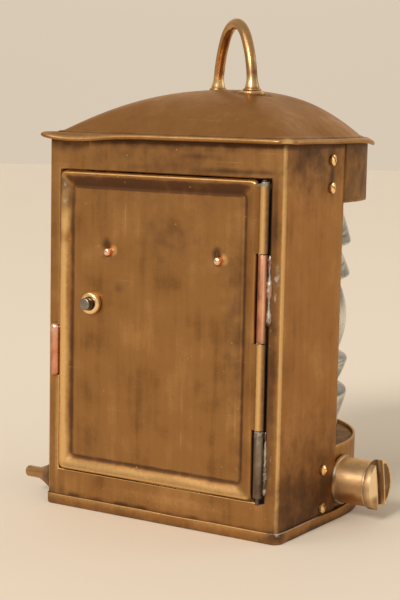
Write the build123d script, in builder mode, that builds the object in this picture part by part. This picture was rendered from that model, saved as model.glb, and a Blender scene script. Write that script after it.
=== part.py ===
from build123d import *
import os
from math import cos, radians, sin

# A small sheet-brass candle lantern: a D-shaped case with a hinged door at the back (-Y),
# a half-round ribbed lens at the front (+Y) and a domed roof with a carrying loop.
# The origin is on the lens axis, on the plane that the lantern stands on. Millimetres.

# Sheet metal
sheet = 0.8                  # thickness of every folded or rolled sheet
bend = 1.2                   # outer radius of the case's folded corners
joint_gap = 0.1              # room left where one soldered piece lies inside another
running_gap = 0.05           # radial room of a pin, spindle or plug that turns
side_gap = 0.3               # room between pieces that pass each other

# Case
case_width = 100.0
wall_depth = 42.3            # side wall, from the door face to its front edge
case_height = 139.0          # underside of the roof brim
axis_to_door_face = 48.0     # lens axis to the outer face of the door panel
stile = 5.0                  # rear panel left and right of the door opening
bottom_rail = 12.2           # rear panel below the opening, from the table up
top_rail = 12.4              # rear panel above the opening
opening_lip = 3.5            # depth of the turned-in edge round the door opening
lip_bend = 0.5
tray_rim = 4.0               # height of the turned-up rim of the base tray

# Half-round base box and hood
tab_length = 22.0            # straight tabs that lie inside the side walls
base_height = 26.0           # top of the ledge that carries the lens
base_rim = 1.2               # raised edge round that ledge
hood_height = 22.2           # band below the roof brim
hood_lap = 0.8               # how far the hood hangs over the top of the lens
hood_step = 1.3              # how far the hood stands out beyond its tabs
ledge_show = 4.5             # how far the ledges stand in beyond the lens's bore
packing = 0.8                # felt between the lens and its ledges
vent_radius = 2.5
vent_count = 5
vent_step = 18.0             # degrees between vents, on the side away from the door
vent_inset = 7.5             # vent centres from the tray floor and from the roof brim

# Lens
lens_room = 3.7              # tips of the rings to the outside of the base box
lens_wall = 6.9              # tips of the rings to the bore
belt_drop = 1.0              # middle of the central belt, in from the tips
ring_depth = 4.6             # foot of each ring, in from the tips
band_drop = 3.2              # plain bands at top and bottom, in from the tips
belt_half = 14.2             # half height of the central belt
ring_riser = 1.3             # height of the steep face of a ring
ring_pitch = 12.3
ring_count = 2
lens_wrap = 7.0              # degrees that the glass runs on past the half circle at each end

# Roof
brim_overhang = 3.0
brim_lip = 0.8               # turned-down edge of the brim
dome_inset = 2.0             # foot of the dome, in from the case
dome_rise = 17.4             # from the brim's underside to the crown
dome_power = 2.5             # fullness of the dome's curve
dome_corner = 3.0            # rounding of the dome's rear corners at its foot
dome_corner_share = 0.8      # rounding of those corners at the crown, as a share of the dome's depth
dome_levels = (1.0, 0.9, 0.75, 0.55, 0.35, 0.16)

# Carrying loop
loop_rod = 4.0
loop_half_span = 18.0
loop_rise = 26.0             # from the dome to the middle of the rod at the top
loop_top_radius = 14.0
loop_turn = -38.0            # degrees that the loop is turned about the lens axis
loop_flare = 5.4             # rod diameter where it spreads at its feet
loop_flare_height = 4.0
loop_tail = 4.0              # threaded ends below the dome
foot_ring_radius = 3.3
foot_ring_height = 0.8
foot_washer_radius = 4.95
foot_washer_height = 1.2
loop_nut_radius = 3.6
loop_nut_height = 2.4

# Case screws
screw_from_door_face = 32.6
hood_screw_drop = (6.7, 16.5)        # below the roof brim
base_screw_heights = (6.4, 20.5)
screw_shank = 2.0
screw_head = 3.8
screw_head_height = 1.4
screw_slot = 0.7
screw_slot_depth = 0.6
screw_slot_turn = 60.0        # degrees from the wall's length
head_round_share = 0.7       # share of a round head's height that its curve takes
screw_nut_radius = 2.2
screw_nut_height = 1.4

# Side tube with its quarter-turn plug
tube_diameter = 17.0
tube_bore = 13.6
tube_height = 13.8           # axis above the table
tube_forward = 1.0           # axis in front of the lens axis
tube_reach = 12.5            # from the case wall to the tube's end
tube_inside = 4.0            # length behind the case wall
tube_collar = 19.4           # solder ring at the root
tube_collar_length = 1.2
plug_head = 18.4
plug_head_length = 3.0
plug_spigot_length = 10.0
plug_slot = 5.2
plug_slot_depth = 2.4
plug_slot_tilt = 10.0        # degrees from upright
plug_chamfer = 0.4

# Stud on the other side
stud_pin = 4.2
stud_reach = 15.0
stud_boss = 12.4
stud_boss_tip = 5.4
stud_boss_length = 6.0
stud_height = 8.6
stud_from_door_face = 7.0
stud_tail = 3.2
stud_tail_diameter = 3.0
stud_nut_radius = 3.2
stud_nut_height = 2.0

# Door
door_gap = 0.6               # between the door and its opening
door_bottom_gap = 2.0
door_hinge_gap = 5.0         # door edge to the hinge side of the opening
door_corner = 2.0
bead_width = 5.0             # rounded border
bead_height = 1.5
bead_round_share = 0.8       # share of the bead's height that its rounding takes

# Hinge
hinge_tube = 3.3
hinge_pin_diameter = 1.6
hinge_from_opening = 2.5     # hinge axis to the edge of the opening
hinge_proud = 1.2            # hinge axis in front of the door face
hinge_pin_past = 0.4         # pin ends beyond the outermost knuckles
hinge_pin_tail = 2.4
hinge_inset = (1.7, 0.3)     # hinge in from the bottom and from the top of the door
knuckle_shares = (0.0, 0.216, 0.494, 0.773, 1.0)     # how the knuckles divide the hinge
knuckle_gap = 0.2
hinge_web = 2.2

# Latch
latch_from_edge = 14.3       # from the free edge of the door
latch_above_middle = 5.6     # above the middle of the lens
latch_spindle_diameter = 5.4
latch_spindle_proud = 3.0
latch_knob_diameter = 8.6
latch_knob_height = 2.3
latch_knob_round_share = 0.4
latch_neck_diameter = 3.0
latch_tongue_length = 18.0
latch_tongue_tail = 4.0
latch_tongue_width = 5.0
latch_tongue_thickness = 1.0
latch_tongue_round_share = 0.4
latch_nut_radius = 2.6
latch_nut_height = 1.5

# Keeper tube beside the door
keeper_below_latch = 28.6    # lower end of the tube below the latch
keeper_tube_length = 19.7
keeper_tube_diameter = 3.4
keeper_tube_bore = 2.0
keeper_sunk = 1.7            # how far the tube is let into the edge of the opening

# Reflector on the inside of the door
reflector_sheet = 0.5
reflector_gap = 1.1          # between the plate and the latch spindle
reflector_below = 28.0       # plate below and above the middle of the lens
reflector_above = 29.0
reflector_corner = 2.0
dish_radius = 22.0
dish_depth = 6.0
rivet_inset = 2.8            # from the sides of the reflector plate
rivet_drop = 4.2             # from its upper edge
rivet_shank = 1.4
rivet_head = 2.6
rivet_head_height = 0.9
rivet_tail_height = 0.6
rivet_round_share = 0.8

# Candle
pan_radius = 20.0
pan_rim = 4.0
pan_sheet = 0.6
socket_height = 18.0
socket_sheet = 0.6
socket_slit = 1.6
socket_slit_depth = 9.0
socket_slit_count = 3
candle_diameter = 22.0
candle_height = 58.0
candle_clearance = 0.3
candle_shoulder = 1.5
melt_cup_radius = 8.0
melt_cup_depth = 1.6
melt_cup_floor = 4.8         # radius of the cup's flat bottom
wick_diameter = 1.6
wick_length = 9.0
wick_set_in = 12.0

# Places that follow from the sizes above
half_width = case_width / 2
door_face = -axis_to_door_face
wall_front = door_face + wall_depth
tab_face = half_width - sheet - joint_gap    # tabs of base box and hood lie inside the side walls
band_start = wall_front + joint_gap          # their half-round walls start at the wall's front edge
hood_bottom = case_height - hood_height
lens_radius = tab_face - lens_room
lens_bore = lens_radius - lens_wall
lens_crown = lens_radius - belt_drop
lens_root = lens_radius - ring_depth
lens_band = lens_radius - band_drop
ledge_inner_radius = lens_bore - ledge_show
lens_bottom = base_height + packing
lens_top = hood_bottom + hood_lap
lens_middle = (lens_bottom + lens_top) / 2
screw_y = door_face + screw_from_door_face
hood_screw_heights = [case_height - drop for drop in hood_screw_drop]
wall_and_tab = 2 * sheet + joint_gap
opening_top = case_height - top_rail
opening_edge = half_width - stile
opening_width = 2 * opening_edge
opening_height = opening_top - bottom_rail
stop_edge = lens_bore + joint_gap
door_left = -opening_edge + door_gap
door_right = opening_edge - door_hinge_gap
door_low = bottom_rail + door_bottom_gap
door_high = opening_top - door_gap
hinge_x = opening_edge - hinge_from_opening
hinge_y = door_face - hinge_proud
hinge_low = door_low + hinge_inset[0]
hinge_high = door_high - hinge_inset[1]
knuckle_ends = [hinge_low + share * (hinge_high - hinge_low) for share in knuckle_shares]
latch_point = (door_left + latch_from_edge, lens_middle + latch_above_middle)
reflector_half = -latch_point[0] - latch_spindle_diameter / 2 - reflector_gap
rivet_x = reflector_half - rivet_inset
rivet_height = lens_middle + reflector_above - rivet_drop
keeper_tube_bottom = latch_point[1] - keeper_below_latch
tongue_front = door_face + opening_lip + side_gap
keeper_x = door_left - side_gap - keeper_tube_diameter / 2
keeper_y = door_face - keeper_tube_diameter / 2 + keeper_sunk
pan_floor = sheet + pan_sheet
socket_radius = candle_diameter / 2 + candle_clearance

os.makedirs("parts", exist_ok=True)


def finish(piece, name):
    """Label a finished piece and write it to its own file."""
    piece.label = name
    export_step(piece, f"parts/{name}.step")


def d_plan(half, back, corner=0.0):
    """A D-shaped outline: a half circle to the front, straight sides and a flat back."""
    with BuildSketch(mode=Mode.PRIVATE) as plan:
        with BuildLine():
            CenterArc((0, 0), half, 0, 180)
            if corner:
                Line((-half, 0), (-half, corner - back))
                CenterArc((corner - half, corner - back), corner, 180, 90)
                Line((corner - half, -back), (half - corner, -back))
                CenterArc((half - corner, corner - back), corner, 270, 90)
                Line((half, corner - back), (half, 0))
            else:
                Polyline((-half, 0), (-half, -back), (half, -back), (half, 0))
        make_face()
    return plan.sketch


def case_plan(grow, corner=0.0):
    """The case's D-shaped plan, grown outwards on every side."""
    return d_plan(half_width + grow, axis_to_door_face + grow, corner)


def half_round_wall(height, length, step):
    """A half-round wall whose ends step in to straight tabs behind the case's side walls."""
    outer = tab_face + step
    inner_tab = tab_face - sheet
    with BuildPart(mode=Mode.PRIVATE) as wall:
        with BuildSketch(Plane.XY.offset(height)):
            add(d_plan(outer, -band_start))
            add(d_plan(outer - sheet, -band_start), mode=Mode.SUBTRACT)
            with Locations((0, band_start)):
                Rectangle(2 * outer, sheet, align=(Align.CENTER, Align.MIN))
            with Locations((0, -tab_length)):
                Rectangle(2 * tab_face, tab_length + band_start, align=(Align.CENTER, Align.MIN))
                Rectangle(2 * inner_tab, tab_length, align=(Align.CENTER, Align.MIN), mode=Mode.SUBTRACT)
        extrude(amount=length)
    return wall.part


def half_ring(inner, outer, height, thickness):
    """A flat ring over the front half circle, closed back to the ends of the half-round wall."""
    back = -band_start - sheet
    with BuildPart(mode=Mode.PRIVATE) as ring:
        with BuildSketch(Plane.XY.offset(height)):
            add(d_plan(outer, back))
            add(d_plan(inner, back), mode=Mode.SUBTRACT)
        extrude(amount=thickness)
    return ring.part


def vents(height):
    """Round drills for a row of vents in a half-round wall, centred on the front."""
    with BuildPart(mode=Mode.PRIVATE) as drills:
        for index in range(vent_count):
            turn = 90 + (index - (vent_count - 1) / 2) * vent_step
            outward = (cos(radians(turn)), sin(radians(turn)), 0)
            seat = Plane(origin=(0, 0, height), z_dir=outward).offset(tab_face)
            with BuildSketch(seat):
                Circle(vent_radius)
        extrude(amount=2 * sheet + hood_step, both=True)
    return drills.part


def side_drills(heights, diameter):
    """Drills for the screws through both side walls."""
    with BuildPart(mode=Mode.PRIVATE) as drills:
        for height in heights:
            with BuildSketch(Plane.YZ.offset(-case_width)):
                with Locations((screw_y, height)):
                    Circle(diameter / 2)
        extrude(amount=2 * case_width)
    return drills.part


def side_seat(side, height, inset):
    """A plane on a side wall, facing out: side is 1 at +X and -1 at -X."""
    origin = (side * (half_width - inset), screw_y, height)
    return Plane(origin=origin, x_dir=(0, 1, 0), z_dir=(side, 0, 0))


def side_screw(seat, round_head):
    """A slotted screw whose head lies on the seat, with its shank behind it."""
    with BuildPart(mode=Mode.PRIVATE) as screw:
        with BuildSketch(seat):
            Circle(screw_head / 2)
        extrude(amount=screw_head_height)
        if round_head:
            crown = screw.edges().filter_by(GeomType.CIRCLE).sort_by_distance(seat.origin)[-1]
            fillet(crown, screw_head_height * head_round_share)
        with BuildSketch(seat.offset(screw_head_height)):
            Rectangle(screw_head * 2, screw_slot, rotation=screw_slot_turn)
        extrude(amount=-screw_slot_depth, mode=Mode.SUBTRACT)
        with BuildSketch(seat):
            Circle(screw_shank / 2)
        extrude(amount=-(wall_and_tab + screw_nut_height))
    return screw.part


def side_nut(seat, radius, height, bore):
    """A hexagonal nut that stands behind the seat."""
    with BuildPart(mode=Mode.PRIVATE) as nut:
        with BuildSketch(seat):
            RegularPolygon(radius, 6)
            Circle(bore / 2, mode=Mode.SUBTRACT)
        extrude(amount=-height)
    return nut.part


# Base tray: the floor with a low rim that stands round the case
with BuildPart() as base_tray:
    with BuildSketch():
        add(case_plan(sheet, bend + sheet))
    extrude(amount=sheet)
    with BuildSketch(Plane.XY.offset(sheet)):
        add(case_plan(sheet, bend + sheet))
        add(case_plan(0, bend), mode=Mode.SUBTRACT)
    extrude(amount=tray_rim - sheet)
finish(base_tray.part, "base_tray")

# Case shell: rear panel with the door opening, folded into two side walls
with BuildPart() as case_shell:
    with BuildSketch(Plane.XY.offset(sheet)) as wall_plan:
        with Locations((0, door_face)):
            Rectangle(case_width, wall_depth, align=(Align.CENTER, Align.MIN))
        fillet(wall_plan.vertices().group_by(Axis.Y)[0], bend)
        with Locations((0, door_face + sheet)):
            Rectangle(case_width - 2 * sheet, wall_depth, align=(Align.CENTER, Align.MIN), mode=Mode.SUBTRACT)
    extrude(amount=case_height - sheet)
    # The front edges turn in between base box and hood, as a stop for the ends of the lens
    with BuildSketch(Plane.XY.offset(base_height + base_rim + side_gap)):
        with Locations((0, wall_front)):
            Rectangle(case_width, sheet, align=(Align.CENTER, Align.MAX))
            Rectangle(2 * stop_edge, sheet, align=(Align.CENTER, Align.MAX), mode=Mode.SUBTRACT)
    extrude(amount=hood_bottom - base_height - base_rim - 2 * side_gap)
    # Door opening with a turned-in lip
    door_plane = Plane(origin=(0, door_face, bottom_rail), x_dir=(1, 0, 0), z_dir=(0, -1, 0))
    with BuildSketch(door_plane):
        with Locations((0, -sheet)):
            Rectangle(opening_width + 2 * sheet, opening_height + 2 * sheet, align=(Align.CENTER, Align.MIN))
    extrude(amount=-opening_lip)
    with BuildSketch(door_plane):
        Rectangle(opening_width, opening_height, align=(Align.CENTER, Align.MIN))
    extrude(amount=-opening_lip, mode=Mode.SUBTRACT)
    opening_edges = case_shell.faces().filter_by(Axis.Y).sort_by(Axis.Y)[0].inner_wires().edges()
    fillet(opening_edges, lip_bend)
    # Notch in the edge of the opening, for the keeper tube
    notch_reach = keeper_tube_diameter / 2 + joint_gap
    with BuildSketch(Plane.XY.offset(keeper_tube_bottom - joint_gap)):
        with Locations((keeper_x - notch_reach, door_face - sheet)):
            Rectangle(2 * notch_reach + side_gap, opening_lip + 2 * sheet, align=(Align.MIN, Align.MIN))
    extrude(amount=keeper_tube_length + 2 * joint_gap, mode=Mode.SUBTRACT)
    add(side_drills(hood_screw_heights, screw_shank + joint_gap), mode=Mode.SUBTRACT)
    add(side_drills(base_screw_heights, screw_shank + joint_gap), mode=Mode.SUBTRACT)
    with BuildSketch(Plane.YZ.offset(half_width)):
        with Locations((tube_forward, tube_height)):
            Circle(tube_diameter / 2 + joint_gap)
    extrude(amount=-2 * sheet, mode=Mode.SUBTRACT)
    with BuildSketch(Plane.YZ.offset(-half_width)):
        with Locations((door_face + stud_from_door_face, stud_height)):
            Circle(stud_tail_diameter / 2 + joint_gap)
    extrude(amount=2 * sheet, mode=Mode.SUBTRACT)
finish(case_shell.part, "case_shell")

# Half-round base box: wall, tabs and the ledge that carries the lens
with BuildPart() as lens_base:
    add(half_round_wall(sheet, base_height + base_rim - sheet, 0))
    add(half_ring(ledge_inner_radius, tab_face, base_height - sheet, sheet))
    add(side_drills(base_screw_heights, screw_shank + joint_gap), mode=Mode.SUBTRACT)
    add(vents(sheet + vent_inset), mode=Mode.SUBTRACT)
    with BuildSketch(Plane.YZ.offset(half_width)):
        with Locations((tube_forward, tube_height)):
            Circle(tube_diameter / 2 + joint_gap)
    extrude(amount=-tube_inside, mode=Mode.SUBTRACT)
finish(lens_base.part, "lens_base")

# Hood: the half-round band below the roof
with BuildPart() as hood_band:
    add(half_round_wall(hood_bottom, hood_height, hood_step))
    add(side_drills(hood_screw_heights, screw_shank + joint_gap), mode=Mode.SUBTRACT)
    add(vents(case_height - vent_inset), mode=Mode.SUBTRACT)
finish(hood_band.part, "hood_band")

# Ledge inside the hood that holds the lens down
with BuildPart() as hood_ledge:
    hood_inside = tab_face + hood_step - sheet - joint_gap
    add(half_ring(ledge_inner_radius, hood_inside, lens_top + packing, sheet))
finish(hood_ledge.part, "hood_ledge")

# Felt packing below and above the lens
with BuildPart() as lens_packing_lower:
    add(half_ring(lens_bore, lens_radius, base_height, packing))
finish(lens_packing_lower.part, "lens_packing_lower")

with BuildPart() as lens_packing_upper:
    add(half_ring(lens_bore, lens_radius, lens_top, packing))
finish(lens_packing_upper.part, "lens_packing_upper")

# Lens: a ribbed section, a convex belt between stepped rings, turned through a half circle
with BuildPart() as lens:
    start = (cos(radians(lens_wrap)), -sin(radians(lens_wrap)), 0)
    across = (-sin(radians(lens_wrap)), -cos(radians(lens_wrap)), 0)
    half_lens = (lens_top - lens_bottom) / 2
    with BuildSketch(Plane(origin=(0, 0, lens_middle), x_dir=start, z_dir=across)):
        with BuildLine():
            TangentArc((lens_crown, 0), (lens_root, belt_half), tangent=(0, 1))
            foot = belt_half
            for index in range(ring_count):
                next_foot = foot + ring_pitch
                Line((lens_root, foot), (lens_radius, foot + ring_riser))
                last = index == ring_count - 1
                root = lens_band if last else lens_root
                Line((lens_radius, foot + ring_riser), (root, next_foot))
                foot = next_foot
            Polyline((lens_band, foot), (lens_band, half_lens), (lens_bore, half_lens), (lens_bore, 0))
            mirror(about=Plane.XZ)
        make_face()
    revolve(axis=Axis.Z, revolution_arc=180 + 2 * lens_wrap)
finish(lens.part, "lens")


def dome(shrink):
    """The dome as a solid: D-shaped levels that draw in towards the crown, their corners rounder."""
    half = half_width - dome_inset - shrink
    back = axis_to_door_face - dome_inset - shrink
    rise = dome_rise - shrink
    with BuildPart(mode=Mode.PRIVATE) as solid:
        for level in dome_levels:
            height = case_height + rise * (1 - level**dome_power)
            round_off = dome_corner + (dome_corner_share * back - dome_corner) * (1 - level)
            with BuildSketch(Plane.XY.offset(height)):
                add(d_plan(half * level, back * level, round_off * level))
        loft()
    return solid.part


def dome_height(x, y):
    """Height of the dome's outside over a point near its crown."""
    half = half_width - dome_inset
    level = (x * x + y * y) ** 0.5 / half
    return case_height + dome_rise * (1 - level**dome_power)


dome_outside = dome(0)
dome_inside = dome(sheet)
feet = [
    (loop_half_span * cos(radians(turn)), loop_half_span * sin(radians(turn)))
    for turn in (loop_turn, loop_turn + 180)
]
foot_height = dome_height(*feet[0])
washer_top = foot_height + foot_washer_height
ring_top = washer_top + foot_ring_height

# Roof: flat brim with a turned-down edge, and the dome
with BuildPart() as roof:
    with BuildSketch(Plane.XY.offset(case_height)):
        add(case_plan(brim_overhang, bend + brim_overhang))
    extrude(amount=sheet)
    with BuildSketch(Plane.XY.offset(case_height)):
        add(case_plan(brim_overhang, bend + brim_overhang))
        add(case_plan(brim_overhang - sheet, bend + brim_overhang - sheet), mode=Mode.SUBTRACT)
    extrude(amount=-brim_lip)
    add(dome_outside)
    add(dome_inside, mode=Mode.SUBTRACT)
    with Locations(*[(x, y, case_height + dome_rise) for x, y in feet]):
        Cylinder(loop_rod / 2 + joint_gap, 2 * dome_rise, mode=Mode.SUBTRACT)
finish(roof.part, "roof")

# Carrying loop: an arch of three arcs, with spread feet and threaded tails through the dome
loop_plane = Plane(
    origin=(0, 0, foot_height),
    x_dir=(cos(radians(loop_turn)), sin(radians(loop_turn)), 0),
    z_dir=(sin(radians(loop_turn)), -cos(radians(loop_turn)), 0),
)
with BuildPart() as handle:
    top_centre = loop_rise - loop_top_radius
    spread = loop_half_span - loop_top_radius
    side_radius = (loop_half_span**2 + top_centre**2 - loop_top_radius**2) / (2 * spread)
    side_centre = side_radius - loop_half_span
    with BuildLine(loop_plane) as arch:
        Line((loop_half_span, -loop_tail), (loop_half_span, 0))
        centre_gap = (side_centre**2 + top_centre**2) ** 0.5
        cosine, sine = side_centre / centre_gap, top_centre / centre_gap
        shoulder = (-side_centre + side_radius * cosine, side_radius * sine)
        TangentArc((loop_half_span, 0), shoulder, tangent=(0, 1))
        ThreePointArc(shoulder, (0, loop_rise), (-shoulder[0], shoulder[1]))
        TangentArc((-loop_half_span, 0), (-shoulder[0], shoulder[1]), tangent=(0, 1))
        Line((-loop_half_span, 0), (-loop_half_span, -loop_tail))
    tail_end = Plane(origin=arch.wire() @ 0, z_dir=arch.wire() % 0)
    with BuildSketch(tail_end):
        Circle(loop_rod / 2)
    sweep(path=arch.wire())
    with Locations(*[(x, y, ring_top) for x, y in feet]):
        Cone(loop_flare / 2, loop_rod / 2, loop_flare_height, align=(Align.CENTER, Align.CENTER, Align.MIN))
finish(handle.part, "handle")

# Ring, washer and nut at each foot of the loop: the washers are dished to lie on the dome
with BuildPart() as handle_rings:
    with Locations(*[(x, y, washer_top) for x, y in feet]):
        Cylinder(foot_ring_radius, foot_ring_height, align=(Align.CENTER, Align.CENTER, Align.MIN))
        Cylinder(loop_rod / 2 + joint_gap, 4 * foot_ring_height, mode=Mode.SUBTRACT)
finish(handle_rings.part, "handle_rings")

with BuildPart() as handle_washers:
    with Locations(*[(x, y, washer_top) for x, y in feet]):
        Cylinder(foot_washer_radius, dome_rise / 2, align=(Align.CENTER, Align.CENTER, Align.MAX))
        Cylinder(loop_rod / 2 + joint_gap, 4 * dome_rise, mode=Mode.SUBTRACT)
    add(dome_outside, mode=Mode.SUBTRACT)
finish(handle_washers.part, "handle_washers")

with BuildPart() as handle_nuts:
    with BuildSketch(Plane.XY.offset(foot_height - sheet - loop_nut_height)):
        with Locations(*feet):
            RegularPolygon(loop_nut_radius, 6)
            Circle(loop_rod / 2 + joint_gap, mode=Mode.SUBTRACT)
    extrude(amount=2 * loop_nut_height)
    add(dome_inside, mode=Mode.INTERSECT)
finish(handle_nuts.part, "handle_nuts")

# Screws that hold the hood and the base box to the side walls, with their nuts
with BuildPart() as hood_screws:
    for side in (1, -1):
        for height in hood_screw_heights:
            add(side_screw(side_seat(side, height, 0), round_head=False))
finish(hood_screws.part, "hood_screws")

with BuildPart() as base_screws:
    for side in (1, -1):
        for height in base_screw_heights:
            add(side_screw(side_seat(side, height, 0), round_head=True))
finish(base_screws.part, "base_screws")

with BuildPart() as hood_screw_nuts:
    for side in (1, -1):
        for height in hood_screw_heights:
            seat = side_seat(side, height, wall_and_tab)
            add(side_nut(seat, screw_nut_radius, screw_nut_height, screw_shank + joint_gap))
finish(hood_screw_nuts.part, "hood_screw_nuts")

with BuildPart() as base_screw_nuts:
    for side in (1, -1):
        for height in base_screw_heights:
            seat = side_seat(side, height, wall_and_tab)
            add(side_nut(seat, screw_nut_radius, screw_nut_height, screw_shank + joint_gap))
finish(base_screw_nuts.part, "base_screw_nuts")

# Side tube with a solder ring at its root
tube_root = Plane(origin=(half_width, tube_forward, tube_height), x_dir=(0, 1, 0), z_dir=(1, 0, 0))
with BuildPart() as side_tube:
    with BuildSketch(tube_root.offset(-tube_inside)):
        Circle(tube_diameter / 2)
    extrude(amount=tube_inside + tube_reach)
    with BuildSketch(tube_root):
        Circle(tube_collar / 2)
    extrude(amount=tube_collar_length)
    with BuildSketch(tube_root.offset(-tube_inside)):
        Circle(tube_bore / 2)
    extrude(amount=tube_inside + tube_reach, mode=Mode.SUBTRACT)
finish(side_tube.part, "side_tube")

# Slotted plug that closes the tube
plug_seat = tube_root.offset(tube_reach + joint_gap)
with BuildPart() as tube_plug:
    with BuildSketch(plug_seat):
        Circle(plug_head / 2)
    extrude(amount=plug_head_length)
    rim = tube_plug.edges().filter_by(GeomType.CIRCLE)
    chamfer(rim, plug_chamfer)
    with BuildSketch(plug_seat):
        Circle(tube_bore / 2 - running_gap)
    extrude(amount=-plug_spigot_length)
    with BuildSketch(plug_seat.offset(plug_head_length)):
        Rectangle(plug_slot, 2 * plug_head, rotation=plug_slot_tilt)
    extrude(amount=-plug_slot_depth, mode=Mode.SUBTRACT)
finish(tube_plug.part, "tube_plug")

# Stud with a conical boss, and the nut behind the wall
stud_origin = (-half_width, door_face + stud_from_door_face, stud_height)
stud_root = Plane(origin=stud_origin, x_dir=(0, 1, 0), z_dir=(-1, 0, 0))
with BuildPart() as side_stud:
    with BuildSketch(stud_root):
        Circle(stud_boss / 2)
    with BuildSketch(stud_root.offset(stud_boss_length)):
        Circle(stud_boss_tip / 2)
    loft(ruled=True)
    # The boss is cut flat where it stands over the tray's rim
    with Locations((-half_width, stud_origin[1], tray_rim + joint_gap)):
        Box(4 * stud_boss_length, 2 * stud_boss, stud_boss, mode=Mode.SUBTRACT,
            align=(Align.CENTER, Align.CENTER, Align.MAX))
    with BuildSketch(stud_root):
        Circle(stud_pin / 2)
    extrude(amount=stud_reach)
    with BuildSketch(stud_root):
        Circle(stud_tail_diameter / 2)
    extrude(amount=-(sheet + stud_tail))
finish(side_stud.part, "side_stud")

with BuildPart() as side_stud_nut:
    add(side_nut(stud_root.offset(-sheet), stud_nut_radius, stud_nut_height, stud_tail_diameter + joint_gap))
finish(side_stud_nut.part, "side_stud_nut")

# Hinge knuckles: two on the case, two rolled from the edge of the door
case_knuckles = (knuckle_ends[0:2], knuckle_ends[2:4])
door_knuckles = (knuckle_ends[1:3], knuckle_ends[3:5])
hinge_bore = hinge_pin_diameter / 2 + running_gap


def case_knuckle(low, high):
    """A tube round the hinge pin, soldered by a short web to the edge of the door opening."""
    with BuildPart(mode=Mode.PRIVATE) as knuckle:
        with BuildSketch(Plane.XY.offset(low)):
            with Locations((hinge_x, hinge_y)):
                Circle(hinge_tube / 2)
            with Locations((hinge_x, hinge_y + hinge_tube / 4)):
                Rectangle(hinge_from_opening, hinge_web, align=(Align.MIN, Align.MIN))
            with Locations((hinge_x, hinge_y)):
                Circle(hinge_bore, mode=Mode.SUBTRACT)
        extrude(amount=high - low)
    return knuckle.part


with BuildPart() as hinge_knuckle_lower:
    add(case_knuckle(*case_knuckles[0]))
finish(hinge_knuckle_lower.part, "hinge_knuckle_lower")

with BuildPart() as hinge_knuckle_upper:
    add(case_knuckle(*case_knuckles[1]))
finish(hinge_knuckle_upper.part, "hinge_knuckle_upper")

with BuildPart() as hinge_pin:
    with BuildSketch(Plane.XY.offset(knuckle_ends[0] - hinge_pin_tail)):
        with Locations((hinge_x, hinge_y)):
            Circle(hinge_pin_diameter / 2)
    extrude(amount=knuckle_ends[-1] - knuckle_ends[0] + hinge_pin_tail + hinge_pin_past)
finish(hinge_pin.part, "hinge_pin")

# Door: a flat sheet with a rounded border, its hinge edge rolled into knuckles
door_front = Plane(origin=(0, door_face, 0), x_dir=(1, 0, 0), z_dir=(0, -1, 0))
door_width = door_right - door_left
door_tall = door_high - door_low
door_centre = ((door_left + door_right) / 2, (door_low + door_high) / 2)
rivet_points = [(-rivet_x, rivet_height), (rivet_x, rivet_height)]
with BuildPart() as door_panel:
    with BuildSketch(door_front):
        with Locations(door_centre):
            RectangleRounded(door_width, door_tall, door_corner)
            Rectangle(door_width - 2 * bead_width, door_tall - 2 * bead_width, mode=Mode.SUBTRACT)
    extrude(amount=bead_height)
    bead_edges = door_panel.faces().sort_by(Axis.Y)[0].edges()
    fillet(bead_edges, bead_height * bead_round_share)
    with BuildSketch(door_front):
        with Locations(door_centre):
            RectangleRounded(door_width, door_tall, door_corner)
    extrude(amount=-sheet)
    for low, high in door_knuckles:
        with BuildSketch(Plane.XY.offset(low + knuckle_gap)):
            with Locations((hinge_x, hinge_y)):
                Circle(hinge_tube / 2)
                reach = hinge_x - door_right + bead_width / 2
                Rectangle(reach, hinge_tube / 2, align=(Align.MAX, Align.CENTER))
        extrude(amount=high - low - 2 * knuckle_gap)
    with BuildSketch(Plane.XY.offset(door_low)):
        with Locations((hinge_x, hinge_y)):
            Circle(hinge_bore)
    extrude(amount=door_tall, mode=Mode.SUBTRACT)
    with BuildSketch(door_front):
        with Locations(latch_point):
            Circle(latch_spindle_diameter / 2 + running_gap)
        with Locations(*rivet_points):
            Circle((rivet_shank + joint_gap) / 2)
    extrude(amount=-sheet, mode=Mode.SUBTRACT)
finish(door_panel.part, "door_panel")

# Latch: knob and spindle through the door, tongue and nut inside
with BuildPart() as latch_knob:
    with BuildSketch(door_front.offset(joint_gap)):
        with Locations(latch_point):
            Circle(latch_knob_diameter / 2)
            Circle(latch_spindle_diameter / 2 + joint_gap / 2, mode=Mode.SUBTRACT)
    extrude(amount=latch_knob_height)
    knob_front = latch_knob.faces().sort_by(Axis.Y)[0].edges().sort_by(SortBy.RADIUS)[-1]
    fillet(knob_front, latch_knob_height * latch_knob_round_share)
finish(latch_knob.part, "latch_knob")

tongue_depth = tongue_front - door_face
with BuildPart() as latch_spindle:
    with BuildSketch(door_front.offset(latch_spindle_proud)):
        with Locations(latch_point):
            Circle(latch_spindle_diameter / 2)
    extrude(amount=-(latch_spindle_proud + tongue_depth))
    with BuildSketch(door_front.offset(-tongue_depth)):
        with Locations(latch_point):
            Circle(latch_neck_diameter / 2)
    extrude(amount=-(latch_tongue_thickness + latch_nut_height))
finish(latch_spindle.part, "latch_spindle")

with BuildPart() as latch_tongue:
    with BuildSketch(door_front.offset(-tongue_depth)):
        with Locations((latch_point[0], latch_point[1] + latch_tongue_tail)):
            tongue_run = latch_tongue_length + latch_tongue_tail
            Rectangle(latch_tongue_width, tongue_run, align=(Align.CENTER, Align.MAX))
        with Locations(latch_point):
            Circle((latch_neck_diameter + joint_gap) / 2, mode=Mode.SUBTRACT)
    extrude(amount=-latch_tongue_thickness)
    tongue_corners = latch_tongue.edges().filter_by(Axis.Y).group_by(Axis.Z)[0]
    fillet(tongue_corners, latch_tongue_width * latch_tongue_round_share)
finish(latch_tongue.part, "latch_tongue")

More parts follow.
